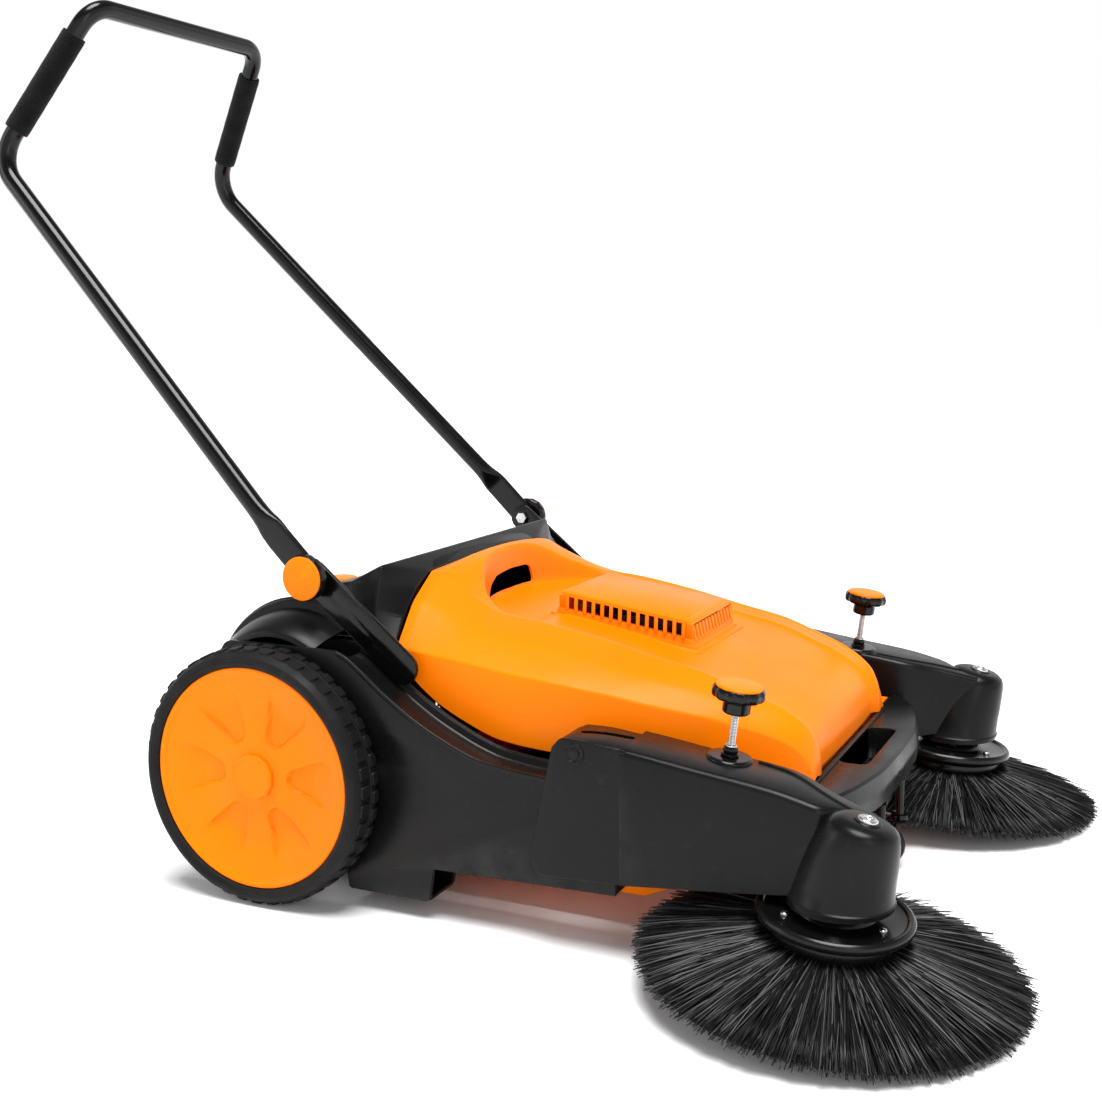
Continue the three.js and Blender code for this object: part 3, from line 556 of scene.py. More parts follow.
def row_tree():
    """Copies of the mesh at even steps along a line."""
    t = Tree("row_of_copies", {"Count": "Int", "Step": "Vector", "Finish": "Material"})
    g = t.source.outputs
    points = t.node("GeometryNodeMeshLine", {"Count": g["Count"], "Offset": g["Step"]}).outputs["Mesh"]
    t.finish(points, g["Geometry"], (0, 0, 0), (1, 1, 1))
    return t


def tuft_tree():
    """Strands in tufts round a plate: each leaves its tuft on its own heading, slope and length."""
    t = Tree("tufts_of_bristle", {"Tufts": "Int", "Strands": "Int", "Ring": "Float", "Tuft": "Float",
            "Fan": "Float", "Slope": "Float", "Shortest": "Float", "Seed": "Int", "Finish": "Material"})
    g = t.source.outputs
    count = t.math("MULTIPLY", g["Tufts"], g["Strands"])
    points = t.node("GeometryNodeMeshLine", {"Count": count, "Offset": (0, 0, 0)}).outputs["Mesh"]
    index = t.node("GeometryNodeInputIndex").outputs[0]
    tuft = t.math("FLOOR", t.math("DIVIDE", index, g["Strands"]))
    angle = t.math("MULTIPLY", tuft, t.math("DIVIDE", 2 * math.pi, g["Tufts"]))
    seeds = [t.math("ADD", g["Seed"], float(k)) for k in range(8)]
    spread = [t.random(t.math("MULTIPLY", g["Tuft"], -1.0), g["Tuft"], seeds[k], index)
            for k in range(3)]
    reach = t.math("ADD", g["Ring"], spread[0])
    root_x = t.math("SUBTRACT", t.math("MULTIPLY", t.math("COSINE", angle), reach),
            t.math("MULTIPLY", t.math("SINE", angle), spread[1]))
    root_y = t.math("ADD", t.math("MULTIPLY", t.math("SINE", angle), reach),
            t.math("MULTIPLY", t.math("COSINE", angle), spread[1]))
    root = t.vector(root_x, root_y, t.math("MULTIPLY", spread[2], 0.5))
    moved_points = t.node("GeometryNodeSetPosition",
            {"Geometry": points, "Position": root}).outputs["Geometry"]
    heading = t.math("ADD", angle, t.random(t.math("MULTIPLY", g["Fan"], -1.0), g["Fan"], seeds[3],
            index))
    lift = t.random(t.math("MULTIPLY", g["Slope"], -1.0), g["Slope"], seeds[4], index)
    length = t.random(g["Shortest"], 1.0, seeds[5], index)
    shade = t.random(0.0, 1.0, seeds[6], index)
    roll = t.random(-0.5, 0.5, seeds[7], index)
    t.finish(moved_points, g["Geometry"], t.vector(roll, lift, heading), t.vector(length, 1.0, 1.0),
            shade)
    return t


def grown(name, shape, tree, material, **values):
    """The plain mesh that a tree grows from one small shape, in mm."""
    seedling = bpy.data.meshes.new(name)
    points, faces = shape
    seedling.from_pydata(np.asarray(points, float).tolist(), [], [list(f) for f in faces])
    bm = bmesh.new()
    bm.from_mesh(seedling)
    bmesh.ops.recalc_face_normals(bm, faces=bm.faces)
    bm.to_mesh(seedling)
    bm.free()
    obj = linked(name, seedling)
    modifier = obj.modifiers.new("grow", "NODES")
    modifier.node_group = tree.group
    modifier[tree.sockets["Finish"]] = material
    for label, value in values.items():
        modifier[tree.sockets[label]] = value
    settle(obj)
    mesh = obj.data
    bpy.data.objects.remove(obj)
    return mesh


def set_down(mesh, matrix=None, mirror=1):
    """Moves a grown mesh from millimetres at the axle to its place in the frame."""
    co = np.zeros(len(mesh.vertices) * 3)
    mesh.vertices.foreach_get("co", co)
    co = co.reshape(-1, 3)
    if matrix is not None:
        m = np.array(matrix)
        co = co @ m[:3, :3].T + m[:3, 3]
    co = co * (1, mirror, 1) * MM
    co[:, 0] += AXLE_X
    mesh.vertices.foreach_set("co", co.ravel())
    if mirror < 0:
        mesh.flip_normals()
    mesh.update()
    return mesh


RING, ROW, TUFTS = ring_tree(), row_tree(), tuft_tree()


# ---------------------------------------------------------------- wheels
def rounded_block(x, y, z, bevel):
    """A small block with its four upright corners and its top edge eased."""
    corners = rounded([(x[0], y[0]), (x[1], y[0]), (x[1], y[1]), (x[0], y[1])], bevel, 2)
    centre = corners.mean(0)
    inset = centre + (corners - centre) * (1 - bevel * 0.7 / max(x[1] - x[0], y[1] - y[0]))
    rows = [[(a, b, z[0]) for a, b in corners], [(a, b, z[1] - bevel * 0.6) for a, b in corners],
            [(a, b, z[1]) for a, b in inset]]
    return surface(rows, around=True, caps=True)


def tyres():
    """A smooth-walled tyre with flat lugs round its tread and a ribbed inner shoulder."""
    profile = rounded([(128.8, 332.5), (133, 329.2), (140, 328.7), (147, 334), (147.2, 346),
            (146.2, 346.6), (146.2, 347.4), (147.2, 348), (147.2, 366), (142, 375.6), (137, 376.4),
            (136.2, 375.8), (134.8, 376.2), (131, 374.2), (128.8, 372)], [1, 3, 5, 5, 0.3, 0.3, 0.3,
            0.3, 7, 3, 0.4, 0.4, 1, 1, 0.5], 5)
    carcass = turned(profile, 160)
    # A lug is drawn upright, then laid on the tread: X round the wheel, Y across it, Z outwards.
    outer = rounded_block((-7.2, 7.2), (-8.0, 8.0), (-1.5, 2.5), 2.4)
    inner = rounded_block((-7.2, 7.2), (-6.0, 6.0), (-1.5, 2.5), 2.4)

    def on_tread(shape, r, y, lean=0.0):
        points, faces = moved(shape, Matrix.Rotation(math.radians(lean), 4, "X"))
        return np.stack([points[:, 2] + r, points[:, 0], points[:, 1] + y], 1), faces

    count = 44
    axle = Matrix.Translation((0, 0, WHEEL_R)) @ Matrix(((1, 0, 0, 0), (0, 0, 1, 0), (0, -1, 0, 0),
            (0, 0, 0, 1)))
    rows = {"tread_lugs": (on_tread(outer, 146.9, 359.5, -4), 0.0),
            "inner_tread_lugs": (on_tread(inner, 146.9, 339.5, 4), math.pi / count)}
    for side, sign in SIDES.items():
        piece(f"{side}_tyre_carcass", on_side(about_y(carcass, 0, WHEEL_R), sign), f"{side}_tyre",
              smooth=50)
        for label, (lug, phase) in rows.items():
            mesh = grown(label, lug, RING, MATERIALS["tyre_rubber"], Count=count, Phase=phase)
            finished(linked(f"{side}_{label}", set_down(mesh, axle, sign)), f"{side}_tyre")


def wheel_discs():
    """A dished disc with six scooped petals between its spokes."""
    face = [(8.6, 361.5), (20, 361.5), (28, 361), (31, 359.6), (36, 359.2)]
    face += [(r, 359.2 - 2.4 * smoothstep((r - 36) / 34) + 11.6 * smoothstep((r - 66) / 66) ** 1.2)
            for r in range(39, 121, 3)]
    face += [(122, 369.2), (124.5, 370.8), (127, 371.2), (128.1, 370.4)]
    back = [(128.1, 337), (124, 337), (120, 345), (104, 351), (40, 351), (26, 345), (22, 324),
            (13, 322), (13, 283), (8.6, 283)]
    steps = 216
    angles = np.linspace(0, 2 * math.pi, steps, endpoint=False)
    petals = 6
    rows = []
    for a in angles:
        row = []
        for k, (r, y) in enumerate(face + back):
            if k < len(face) and 30 < r < 118:
                off = (a + math.pi / petals) % (2 * math.pi / petals) - math.pi / petals
                across, out = r * math.sin(off), r * math.cos(off)
                half = 14 + 14 * smoothstep((out - 44) / 60)
                near = math.hypot(max(0.0, 56 - out), across)
                inside = min(half - abs(across), 14 - near) if out < 56 else half - abs(across)
                y -= 5.2 * float(smoothstep(inside / 2.2)) * (1 - float(smoothstep((out - 74) / 42)))
            row.append((r * math.cos(a), r * math.sin(a), y))
        rows.append(row)
    disc = surface(rows, around=True, along=True)
    cap_profile = rounded([(0.01, 361.6), (27, 361.6), (27, 366.0), (23.5, 368.4), (22, 367.4),
            (0.01, 368.4)], [0, 0.3, 2, 1.2, 1, 0], 4)
    cap = turned(cap_profile, 72)
    points = cap[0].copy()
    reach = np.hypot(points[:, 0], points[:, 1])
    lobes = 1 - 0.018 * (1 + np.cos(12 * np.arctan2(points[:, 1], points[:, 0]))) * (reach > 22)
    points[:, :2] *= lobes[:, None]
    for side, sign in SIDES.items():
        piece(f"{side}_wheel_face", on_side(about_y(disc, 0, WHEEL_R), sign), f"{side}_wheel_disc",
              smooth=50)
        piece(f"{side}_hub_button", on_side(about_y((points, cap[1]), 0, WHEEL_R), sign),
              f"{side}_hub_cap", smooth=50)


# ---------------------------------------------------------------- side brushes
def side_brushes():
    """Plate, collar, screws and long tufted bristle, leaning out and forward."""
    plate = lathe([(9.4, -14.8), (58, -14.8), (60, -13), (60, -7), (74, -6), (78, -3), (78, 3.6),
            (74.5, 6.4), (70.5, 5.6), (69, 3.4), (40, 3.4), (37.5, 8.8), (9.4, 8.8)],
            [0, 1, 1, 1, 3, 2.5, 3, 1.5, 1, 1, 1.5, 1.5, 0], 4, 96)
    collar = lathe([(44, -26), (60, -26), (66, -20), (66, -9), (61, -6.6), (44, -6.6)],
            [1, 2, 4, 2, 1, 0], 4, 96)
    dish = turned([(40, -16), (58, -17), (120, -34), (188, -55), (188, -56), (118, -42), (40, -24)], 72)
    screw = lathe([(0.01, 3.0), (4.2, 3.0), (4.2, 5.0), (3, 6.2), (0.01, 6.6)], [0, 0, 1, 1, 0], 3, 16)
    screw = (screw[0] + (54, 0, 0), screw[1])
    reach, droop = 138.0, 38.0
    knots = np.linspace(0, 1, 6)
    spine = [(reach * t, 0, -droop * (0.78 * t + 0.22 * t * t)) for t in knots]
    strand = tube(spine, [0.95, 0.95, 0.9, 0.85, 0.75, 0.5], 3, thickness_axis=(0, 0, 1))
    for number, (side, sign) in enumerate(SIDES.items()):
        place = standing(BRUSH["at"], sign, BRUSH["forward"], BRUSH["outward"])
        piece(f"{side}_brush_disc", moved(plate, place), f"{side}_brush_plate")
        piece(f"{side}_tuft_collar", moved(collar, place), f"{side}_brush_plate", replaces=[])
        piece(f"{side}_bristle_root", moved(dish, place), f"{side}_brush_bristles")
        screws = grown("plate_screws", screw, RING, MATERIALS["steel"], Count=3, Phase=-0.35)
        heads = linked(f"{side}_plate_screws", set_down(screws, place))
        finished(heads, f"{side}_brush_plate", slot="steel", material=MATERIALS["steel"])
        bristles = grown("bristles", strand, TUFTS, MATERIALS["bristle"], Tufts=64, Strands=62,
                Ring=57.0, Tuft=3.6, Fan=math.radians(7.0), Slope=math.radians(2.4), Shortest=0.9,
                Seed=11 + 20 * number)
        down = Matrix.Translation((0, 0, -19))
        strands = linked(f"{side}_bristle_strands", set_down(bristles, place @ down))
        finished(strands, f"{side}_brush_bristles", smooth=0)


# ---------------------------------------------------------------- handle
def arc(before, corner, after, radius, steps):
    before, corner, after = (np.array(p, float) for p in (before, corner, after))
    u = (corner - before) / np.linalg.norm(corner - before)
    v = (after - corner) / np.linalg.norm(after - corner)
    turn = math.acos(np.clip(u @ v, -1, 1))
    start = corner - u * radius * math.tan(turn / 2)
    towards = (v - u) / np.linalg.norm(v - u)
    centre = corner + towards * radius / math.cos(turn / 2)
    axis = Vector(np.cross(u, v)).normalized()
    arm = Vector(start - centre)
    return [np.array(Matrix.Rotation(turn * k / steps, 3, axis) @ arm) + centre
            for k in range(steps + 1)]


def handle():
    """One bent tube whose ends flatten into straps, with a foam sleeve on each upright."""
    pivot, lower, upper = np.array(PIVOT), np.array(HANDLE_CORNERS[0]), np.array(HANDLE_CORNERS[1])
    up = (lower - pivot) / np.linalg.norm(lower - pivot)
    flat_up = np.array([up[0], 0, up[2]]) / math.hypot(up[0], up[2])
    lead = [pivot + flat_up * d for d in (-17, -16.2, -14, -10.5, -6, 0, 20, 40, 60)]
    bend_at = lead[-1]
    away = (lower - bend_at) / np.linalg.norm(lower - bend_at)
    lead += [bend_at + away * d for d in (8, 14, 20, 28, 38, 50)]
    ends = {"width": [1.5, 6.5, 10.4, 13.6, 16, 17, 17, 17, 17, 16.9, 16.3, 15.2, 13.6, 12.4, 12],
            "thick": [3.5] * 9 + [3.7, 5, 7.2, 9.8, 11.5, 12]}
    mirror_upper = upper * (1, -1, 1)
    half = arc(bend_at, lower, upper, 52, 14) + arc(lower, upper, mirror_upper, 38, 14)
    left = lead + half
    path = left + [p * (1, -1, 1) for p in reversed(left)]
    thick = ends["thick"] + [TUBE_R] * len(half)
    width = ends["width"] + [TUBE_R] * len(half)
    bar = tube(path, thick + thick[::-1], 28, width + width[::-1], thickness_axis=(0, 1, 0))
    piece("handle_bar", bar, "handle_tube", smooth=45)

    along = (upper - lower) / np.linalg.norm(upper - lower)
    sleeve = rounded([(12.3, 0), (15.2, 0), (16, 1.2), (16, 143.8), (15.2, 145), (12.3, 145)],
            [0.5, 1, 2, 2, 1, 0.5], 3)
    sleeve = sleeve.tolist()
    waves = [(15.9 + 0.12 * math.sin(k * 1.7), 6 + k * 7.0) for k in range(20)]
    long_profile = sleeve[:8] + waves + sleeve[-8:]
    for side, sign in SIDES.items():
        direction = Vector(along * (1, sign, 1))
        start = Vector((upper - along * 188) * (1, sign, 1))
        place = Matrix.Translation(start) @ direction.to_track_quat("Z", "Y").to_matrix().to_4x4()
        piece(f"{side}_foam_grip", moved(turned(long_profile, 40), place), f"{side}_grip", smooth=60)


# ---------------------------------------------------------------- knobs, bolts and nuts
def scalloped(profile, radius_from, lobes, depth, steps=120):
    """A turned shape whose rim is scalloped for the fingers."""
    points, faces = turned(profile, steps)
    reach = np.hypot(points[:, 0], points[:, 1])
    angle = np.arctan2(points[:, 1], points[:, 0])
    share = np.clip((reach - radius_from) / 4.0, 0, 1)
    dip = 1 - share * depth * (0.5 - 0.5 * np.cos(angle * lobes)) / np.maximum(reach, 1)
    points = points.copy()
    points[:, :2] *= dip[:, None]
    return points, faces


def hexagon(across_flats, z0, z1, ease=0.8):
    r = across_flats / math.sqrt(3)
    corners = [(r * math.cos(math.pi / 3 * k), r * math.sin(math.pi / 3 * k)) for k in range(6)]
    shape = rounded(corners, 0.6, 2)
    rows = [[(x * s, y * s, z) for x, y in shape] for s, z in ((0.93, z0), (1, z0 + ease),
            (1, z1 - ease), (0.93, z1))]
    return surface(rows, around=True, caps=True)


def threaded_rod(r, z0, z1, pitch=1.6):
    count = int((z1 - z0) / pitch)
    profile = [(0.01, z0)]
    for k in range(count):
        z = z0 + k * pitch
        profile += [(r - 0.4, z), (r, z + pitch * 0.4), (r, z + pitch * 0.6)]
    profile += [(r - 0.4, z1), (0.01, z1)]
    return turned(profile, 24)


def height_knobs():
    """A scalloped dial on a threaded rod, its nut and bush, and the bolt at the end of the arm."""
    head = scalloped(rounded([(4.4, 45), (13, 45), (14.5, 47), (14.5, 58), (20, 59), (27.8, 62),
            (28, 69), (25.5, 73), (24.6, 72.2), (4.4, 72.2)], [0, 1.5, 1, 1.5, 3, 3.5, 3.5, 1, 0.4, 0],
            4), 20, 12, 1.3)
    cap = lathe([(0.01, 72.5), (24.2, 72.5), (24.2, 74.4), (22.5, 75.6), (0.01, 76.0)],
            [0, 0.2, 0.8, 3, 0], 4, 64)
    for side, sign in SIDES.items():
        place = standing(KNOB["at"], sign, KNOB["lean"])
        piece(f"{side}_height_dial", moved(head, place), f"{side}_height_knob")
        piece(f"{side}_height_dial_cap", moved(cap, place), f"{side}_height_knob_cap")
        rod = together(threaded_rod(3.9, -18, 46),
                turned([(0.01, 46), (4, 46), (4, 66), (0.01, 66)], 16))
        piece(f"{side}_threaded_rod", moved(rod, place), f"{side}_height_spindle")
        nut = together(hexagon(14, 2.2, 8.4), lathe([(4.3, 0.6), (9.5, 0.6), (9.5, 2.1), (4.3, 2.1)],
                0.3, 2, 32))
        piece(f"{side}_rod_nut", moved(nut, place), f"{side}_arm_cover", replaces=[],
              slot="black_gloss")
        lock = lathe([(4.3, 8.6), (6, 8.6), (6, 11), (4.3, 11)], 0.4, 2, 24)
        piece(f"{side}_rod_bush", moved(lock, place), f"{side}_arm_cover", replaces=[], slot="steel")
        bolt_place = standing(ARM_BOLT["at"], sign, ARM_BOLT["lean"])
        head_profile = rounded([(0.01, -22), (4.7, -22), (4.7, -5), (10, -5), (10, -1.2), (7.8, 0),
                (5.6, 0), (5.0, -2.2), (0.01, -2.2)], [0, 0, 0, 0.6, 1.2, 1, 0.5, 0.4, 0], 3)
        piece(f"{side}_cap_bolt", moved(turned(head_profile, 40), bolt_place), f"{side}_arm_bolt")


def facing_out(y, sign):
    """On the handle's pivot line, with Z pointing away from the sweeper."""
    place = Matrix.Translation((PIVOT[0], sign * y, PIVOT[2]))
    return place @ Matrix.Rotation(math.radians(-90 * sign), 4, "X")


def clamp_knobs():
    """The scalloped dial and the hexagon bolt that hold each leg of the handle."""
    base = PIVOT[1] + 3.8
    ring = scalloped(rounded([(5.4, 0), (24, 0), (27.4, 2.5), (27.4, 10.5), (26.2, 13.4), (5.4, 13.4)],
            [0, 2, 2.5, 2.5, 0.8, 0], 4), 20, 14, 0.9)
    cap = lathe([(0.01, 13.8), (25.4, 13.8), (25.8, 15.0), (24.2, 16.3), (0.01, 16.6)],
            [0, 0.2, 0.8, 2, 0], 4, 72)
    for side, sign in SIDES.items():
        place = facing_out(base, sign)
        piece(f"{side}_clamp_dial", moved(ring, place), f"{side}_clamp_knob")
        piece(f"{side}_clamp_dial_cap", moved(cap, place), f"{side}_clamp_knob_cap")
        inner = PIVOT[1] - 3.5 - 0.3 - 6
        bolt = together(hexagon(15, -5.8, -0.4), turned([(0.01, -3.6), (4.7, -3.6), (4.7, 22),
                (0.01, 22)], 24))
        head = facing_out(inner, sign)
        piece(f"{side}_clamp_bolt", moved(bolt, head), f"{side}_pivot_bolt")


# ---------------------------------------------------------------- hood
CREST = [(117, 150, 362), (130, 152, 361), (146, 154, 353), (180, 160, 335), (217, 166, 321),
        (271, 168, 314.5), (346, 168, 301), (407, 168, 287), (467, 168, 274), (512, 166, 258),
        (545, 163, 245.5), (570, 158, 232), (587, 154, 216), (595, 151, 197), (598, 150, 180),
        (598.3, 150, 166)]
CREASE = [(133, 261.5, 292), (140, 261.5, 291), (152, 261.5, 289.5), (180, 261.5, 286),
        (217, 261.5, 282), (266, 261.5, 275), (325, 258, 268), (380, 248, 259), (434, 236, 248),
        (485, 220, 237.5), (525, 204, 226), (555, 192, 216), (577, 182, 204), (589, 175, 190),
        (595, 171, 177), (598, 169, 166)]
HEM = [(133, 261.5, 286), (139, 261.5, 278), (152, 261.5, 259), (180, 261.5, 235), (217, 261.5, 215),
       (266, 261.5, 197), (325, 258.5, 190), (380, 249.5, 187), (434, 237.5, 183), (485, 222, 179),
       (525, 206.5, 176), (555, 194.5, 172), (577, 184.5, 169.5), (589, 177, 168), (595, 172.5, 166.5),
       (597.5, 170, 165)]
RIDGE = [(117, 366), (130, 372.5), (146, 371), (180, 341), (217, 322), (271, 315.5), (346, 302.5),
        (407, 289), (467, 275.5), (512, 259.5), (546, 247), (571.5, 234), (589, 218), (597.5, 198),
        (600.6, 181), (601, 166)]
HOOD_REFINE = [6, 9, 14, 12, 10, 6, 6, 6, 6, 6, 6, 6, 6, 5, 5]
SCOOP = {"centre": 240, "reach": 99, "half": 158, "floor": 316, "heel": 148, "fall": 0.115}
PANEL_DEPTH = 9.0


def hood_stations():
    """Crest, crease, hem and ridge lines at every rib of the hood."""
    at = np.concatenate([k + np.arange(n) / n for k, n in enumerate(HOOD_REFINE)]
            + [[len(HOOD_REFINE)]])
    knots = np.arange(len(CREST))
    smooth = lambda line: np.stack([monotone(knots, [p[k] for p in line], at)
            for k in range(len(line[0]))], 1)
    return smooth(CREST), smooth(CREASE), smooth(HEM), smooth(RIDGE)


def scoop_share(x, y, crest_y):
    """0 on the shoulders and 1 in the sunken middle: a scoop at the back, a panel further forward."""
    if x < SCOOP["centre"]:
        rho = math.hypot((SCOOP["centre"] - x) / SCOOP["reach"], y / SCOOP["half"])
        inside = (1 - rho) * (SCOOP["reach"] * 0.55 + SCOOP["half"] * 0.45 * abs(y) / SCOOP["half"])
    else:
        inside = crest_y - 8 - abs(y)
    return float(smoothstep((inside + 1.5) / (8 if x < SCOOP["centre"] else 11)))


def hood_rows():
    """Half sections across the hood, from the middle out over the shoulder to the hem."""
    crest, crease, hem, ridge = hood_stations()
    rows = []
    for c, s, h, r in zip(crest, crease, hem, ridge):
        top = []
        fractions = np.concatenate([np.linspace(0, 0.5, 16, endpoint=False), np.linspace(0.5, 1, 40)])
        i = len(rows)
        before, after = ridge[max(0, i - 1)], ridge[min(len(ridge) - 1, i + 1)]
        slope = math.atan2(before[1] - after[1], after[0] - before[0])
        lean = smoothstep((c[0] - 480) / 60) * slope
        for f in fractions:
            y = f * c[1]
            ease = f ** 2.2
            x, z = r[0] + (c[0] - r[0]) * ease, r[1] + (c[2] - r[1]) * ease
            share = scoop_share(x, y, c[1])
            if x < SCOOP["centre"]:
                floor = SCOOP["floor"] - max(0.0, x - SCOOP["heel"]) * SCOOP["fall"]
                depth = max(z - floor, 0)
            else:
                depth = PANEL_DEPTH + max(0.0, z - 305.4 - PANEL_DEPTH) * (1 - smoothstep((x - 240) / 30))
            top.append((x - share * depth * math.sin(lean), y, z - share * depth * math.cos(lean)))
        bulge = 5 * (1 - smoothstep((c[0] - 150) / 250)) + 3.5
        middle = (np.array(c) + np.array(s)) / 2 + np.array((0, bulge * 0.45, bulge))
        shoulder = rounded([top[-4], tuple(c), tuple(middle), tuple(s), tuple(h)], [0, 7, 60, 4, 0], 8,
                closed=False)
        inner = top[:-4]
        rows.append(inner + [tuple(p) for p in shoulder])
    return rows


def hood():
    """The hopper hood: a moulded shell with a scoop, a hand slot and an opening under the vent; a black
    foam pad under the opening is painted shade.
    """
    halves = hood_rows()
    rear = [[(x + 3.0 + 2 * k, y, z - 6.0 - 10 * k) for x, y, z in halves[0]] for k in (1, 0)]
    halves = rear + halves
    rows = [[(x, -y, z) for x, y, z in reversed(half)] + half[1:] for half in halves]
    points, faces = surface(rows)
    points = np.asarray(points)
    kept = []
    for face in faces:
        x, y, z = points[list(face)].mean(0)
        if 268 < x < 412 and abs(y) < 60:
            continue
        kept.append(face)
    obj = linked("hopper_hood_shell", mesh_of("hopper_hood_shell", (points, kept)))
    up = sum(1 if p.normal.z > 0 else -1 for p in obj.data.polygons if p.center.z > 0.29)
    if up < 0:
        obj.data.flip_normals()
    wall = obj.modifiers.new("wall", "SOLIDIFY")
    wall.thickness, wall.offset = 3.2 * MM, -1
    settle(obj)
    grip = [(-88, 318.5), (57, 318.5), (58, 324), (56, 339), (46, 342.5), (5, 343), (-38, 340),
            (-66, 332), (-86, 322)]
    carve(obj, plate_yz(rounded(grip, 3, 3), 122, 166))
    finished(obj, "hopper_hood", replaces=["hopper_hood"], smooth=42)

    # Painted shade: a black foam pad laid under the vent opening, so the slots read dark instead of showing
    # the lit hopper below.
    shade_pad_shape = block((262, 418), (-64, 64), (262, 268))
    piece("painted_shade_pad", shade_pad_shape, "hopper_hood", edge=1.5, replaces=[], slot="foam")


# ---------------------------------------------------------------- vent on the hood
def vent():
    """A louvred tower: roof, skirt and two flanges, with slats down its sides and across its front, and
    black walls behind the slats as painted shade.
    """
    roof_z = lambda x: 335.0 - (x - 253) * 0.1455
    base_z = lambda x: 307.0 - (x - 232) * 0.152
    outline = lambda x0, x1, half, r: rounded([(x0, -half), (x1, -half), (x1, half), (x0, half)], r, 5)

    def slab(low, high, crown, top, bottom):
        """A rounded slab that follows the slope: its foot, the start of its edge, and its crown."""
        rows = [(low, bottom), (high, (top[0], top[1] - 2.0)), (outline(*crown), top)]
        return surface([[(x, y, f(x) + dz) for x, y in o] for o, (f, dz) in rows], around=True,
                caps=True)

    hole = plate_xy(outline(260, 416, 68, 4), 200, 400)
    rooms = {"vent_roof": (slab(outline(254, 424, 75.2, 5), outline(255, 422, 74.4, 5),
            (258, 418, 71.5, 5), (roof_z, 0.4), (roof_z, -5.2)), ()),
            "vent_flange": (slab(outline(232, 438, 84, 4), outline(232, 438, 84, 4),
            (233.5, 436.5, 82.5, 4), (base_z, 0.0), (base_z, -8.5)), (hole,)),
            "vent_step": (slab(outline(240, 432, 80.5, 5), outline(241, 431, 79.8, 5),
            (243, 430, 78.8, 5), (base_z, 3.6), (base_z, -4.0)), (hole,)),
            "vent_skirt": (slab(outline(247, 429, 78.2, 5), outline(250, 427, 77.4, 5),
            (251, 426, 76.6, 5), (base_z, 10.4), (base_z, -4.0)), (hole,)),}
    for name, (shape, cuts) in rooms.items():
        piece(name, shape, "vent_cover", cuts=cuts, replaces=["vent_cover"] if name == "vent_flange"
              else [], smooth=35)
    side_bar = rounded_block((-2.1, 2.1), (-1.3, 1.3), (0, 19.0), 0.5)
    front_bar = rounded_block((-1.3, 1.3), (-3.1, 3.1), (0, 18.0), 0.5)
    pitch = 11.6
    for side, sign in SIDES.items():
        bars = grown("side_slats", side_bar, ROW, MATERIALS["orange_plastic"], Count=14,
                Step=(pitch, 0.0, -pitch * 0.1475))
        lean = Matrix.Translation((264.0, 76.4, 312.0)) @ Matrix.Rotation(math.radians(5), 4, "X")
        finished(linked(f"{side}_vent_slats", set_down(bars, lean, sign)), "vent_cover")
    bars = grown("front_slats", front_bar, ROW, MATERIALS["orange_plastic"], Count=13,
            Step=(0.0, 11.3, 0.0))
    lean = Matrix.Translation((426.4, -67.8, 285.4)) @ Matrix.Rotation(math.radians(-12), 4, "Y")
    finished(linked("front_vent_slats", set_down(bars, lean)), "vent_cover")
    corners = together(*[block((x - 4.5, x + 4.5), (y - 3.5, y + 3.5), (base_z(x) + 6, roof_z(x) - 4))
                         for x in (257.5, 420.5) for y in (-72, 72)])
    piece("vent_posts", corners, "vent_cover", edge=1.2, replaces=[])
    # Painted shade: black walls set just behind the front and side slats, so the openings between the slats
    # read dark.
    shade_walls = together(block((406, 409), (-67, 67), (base_z(408) - 6, roof_z(408) - 6)),
            block((262, 409), (-58, -56), (base_z(408) - 2, roof_z(408) - 6)), block((262, 409),
            (56, 58), (base_z(408) - 2, roof_z(408) - 6)))
    piece("vent_painted_shade_walls", shade_walls, "vent_cover", replaces=[], slot="black_plastic")
    back = block((253.5, 257), (-70, 70), (base_z(255) + 8, roof_z(255) - 3))
    piece("vent_back", back, "vent_cover", edge=1.0, replaces=[])


# ---------------------------------------------------------------- side frames
FENDER = [(430, 178), (392, 179), (352, 182), (312, 185.5), (275, 191), (250, 199), (226, 209.5),
        (200, 222.5), (176, 237), (146, 258), (122, 277), (104, 290), (90, 296)]


FRAME_SKIN = (321, 326.4)
FRAME_WALL = (266.2, 271)
ARM_SKIN = (335.6, 340)


def fender_z(x):
    """The height of the fender line, which the panel and its trough share."""
    knots = FENDER[::-1]
    return monotone([p[0] for p in knots], [p[1] for p in knots], x)


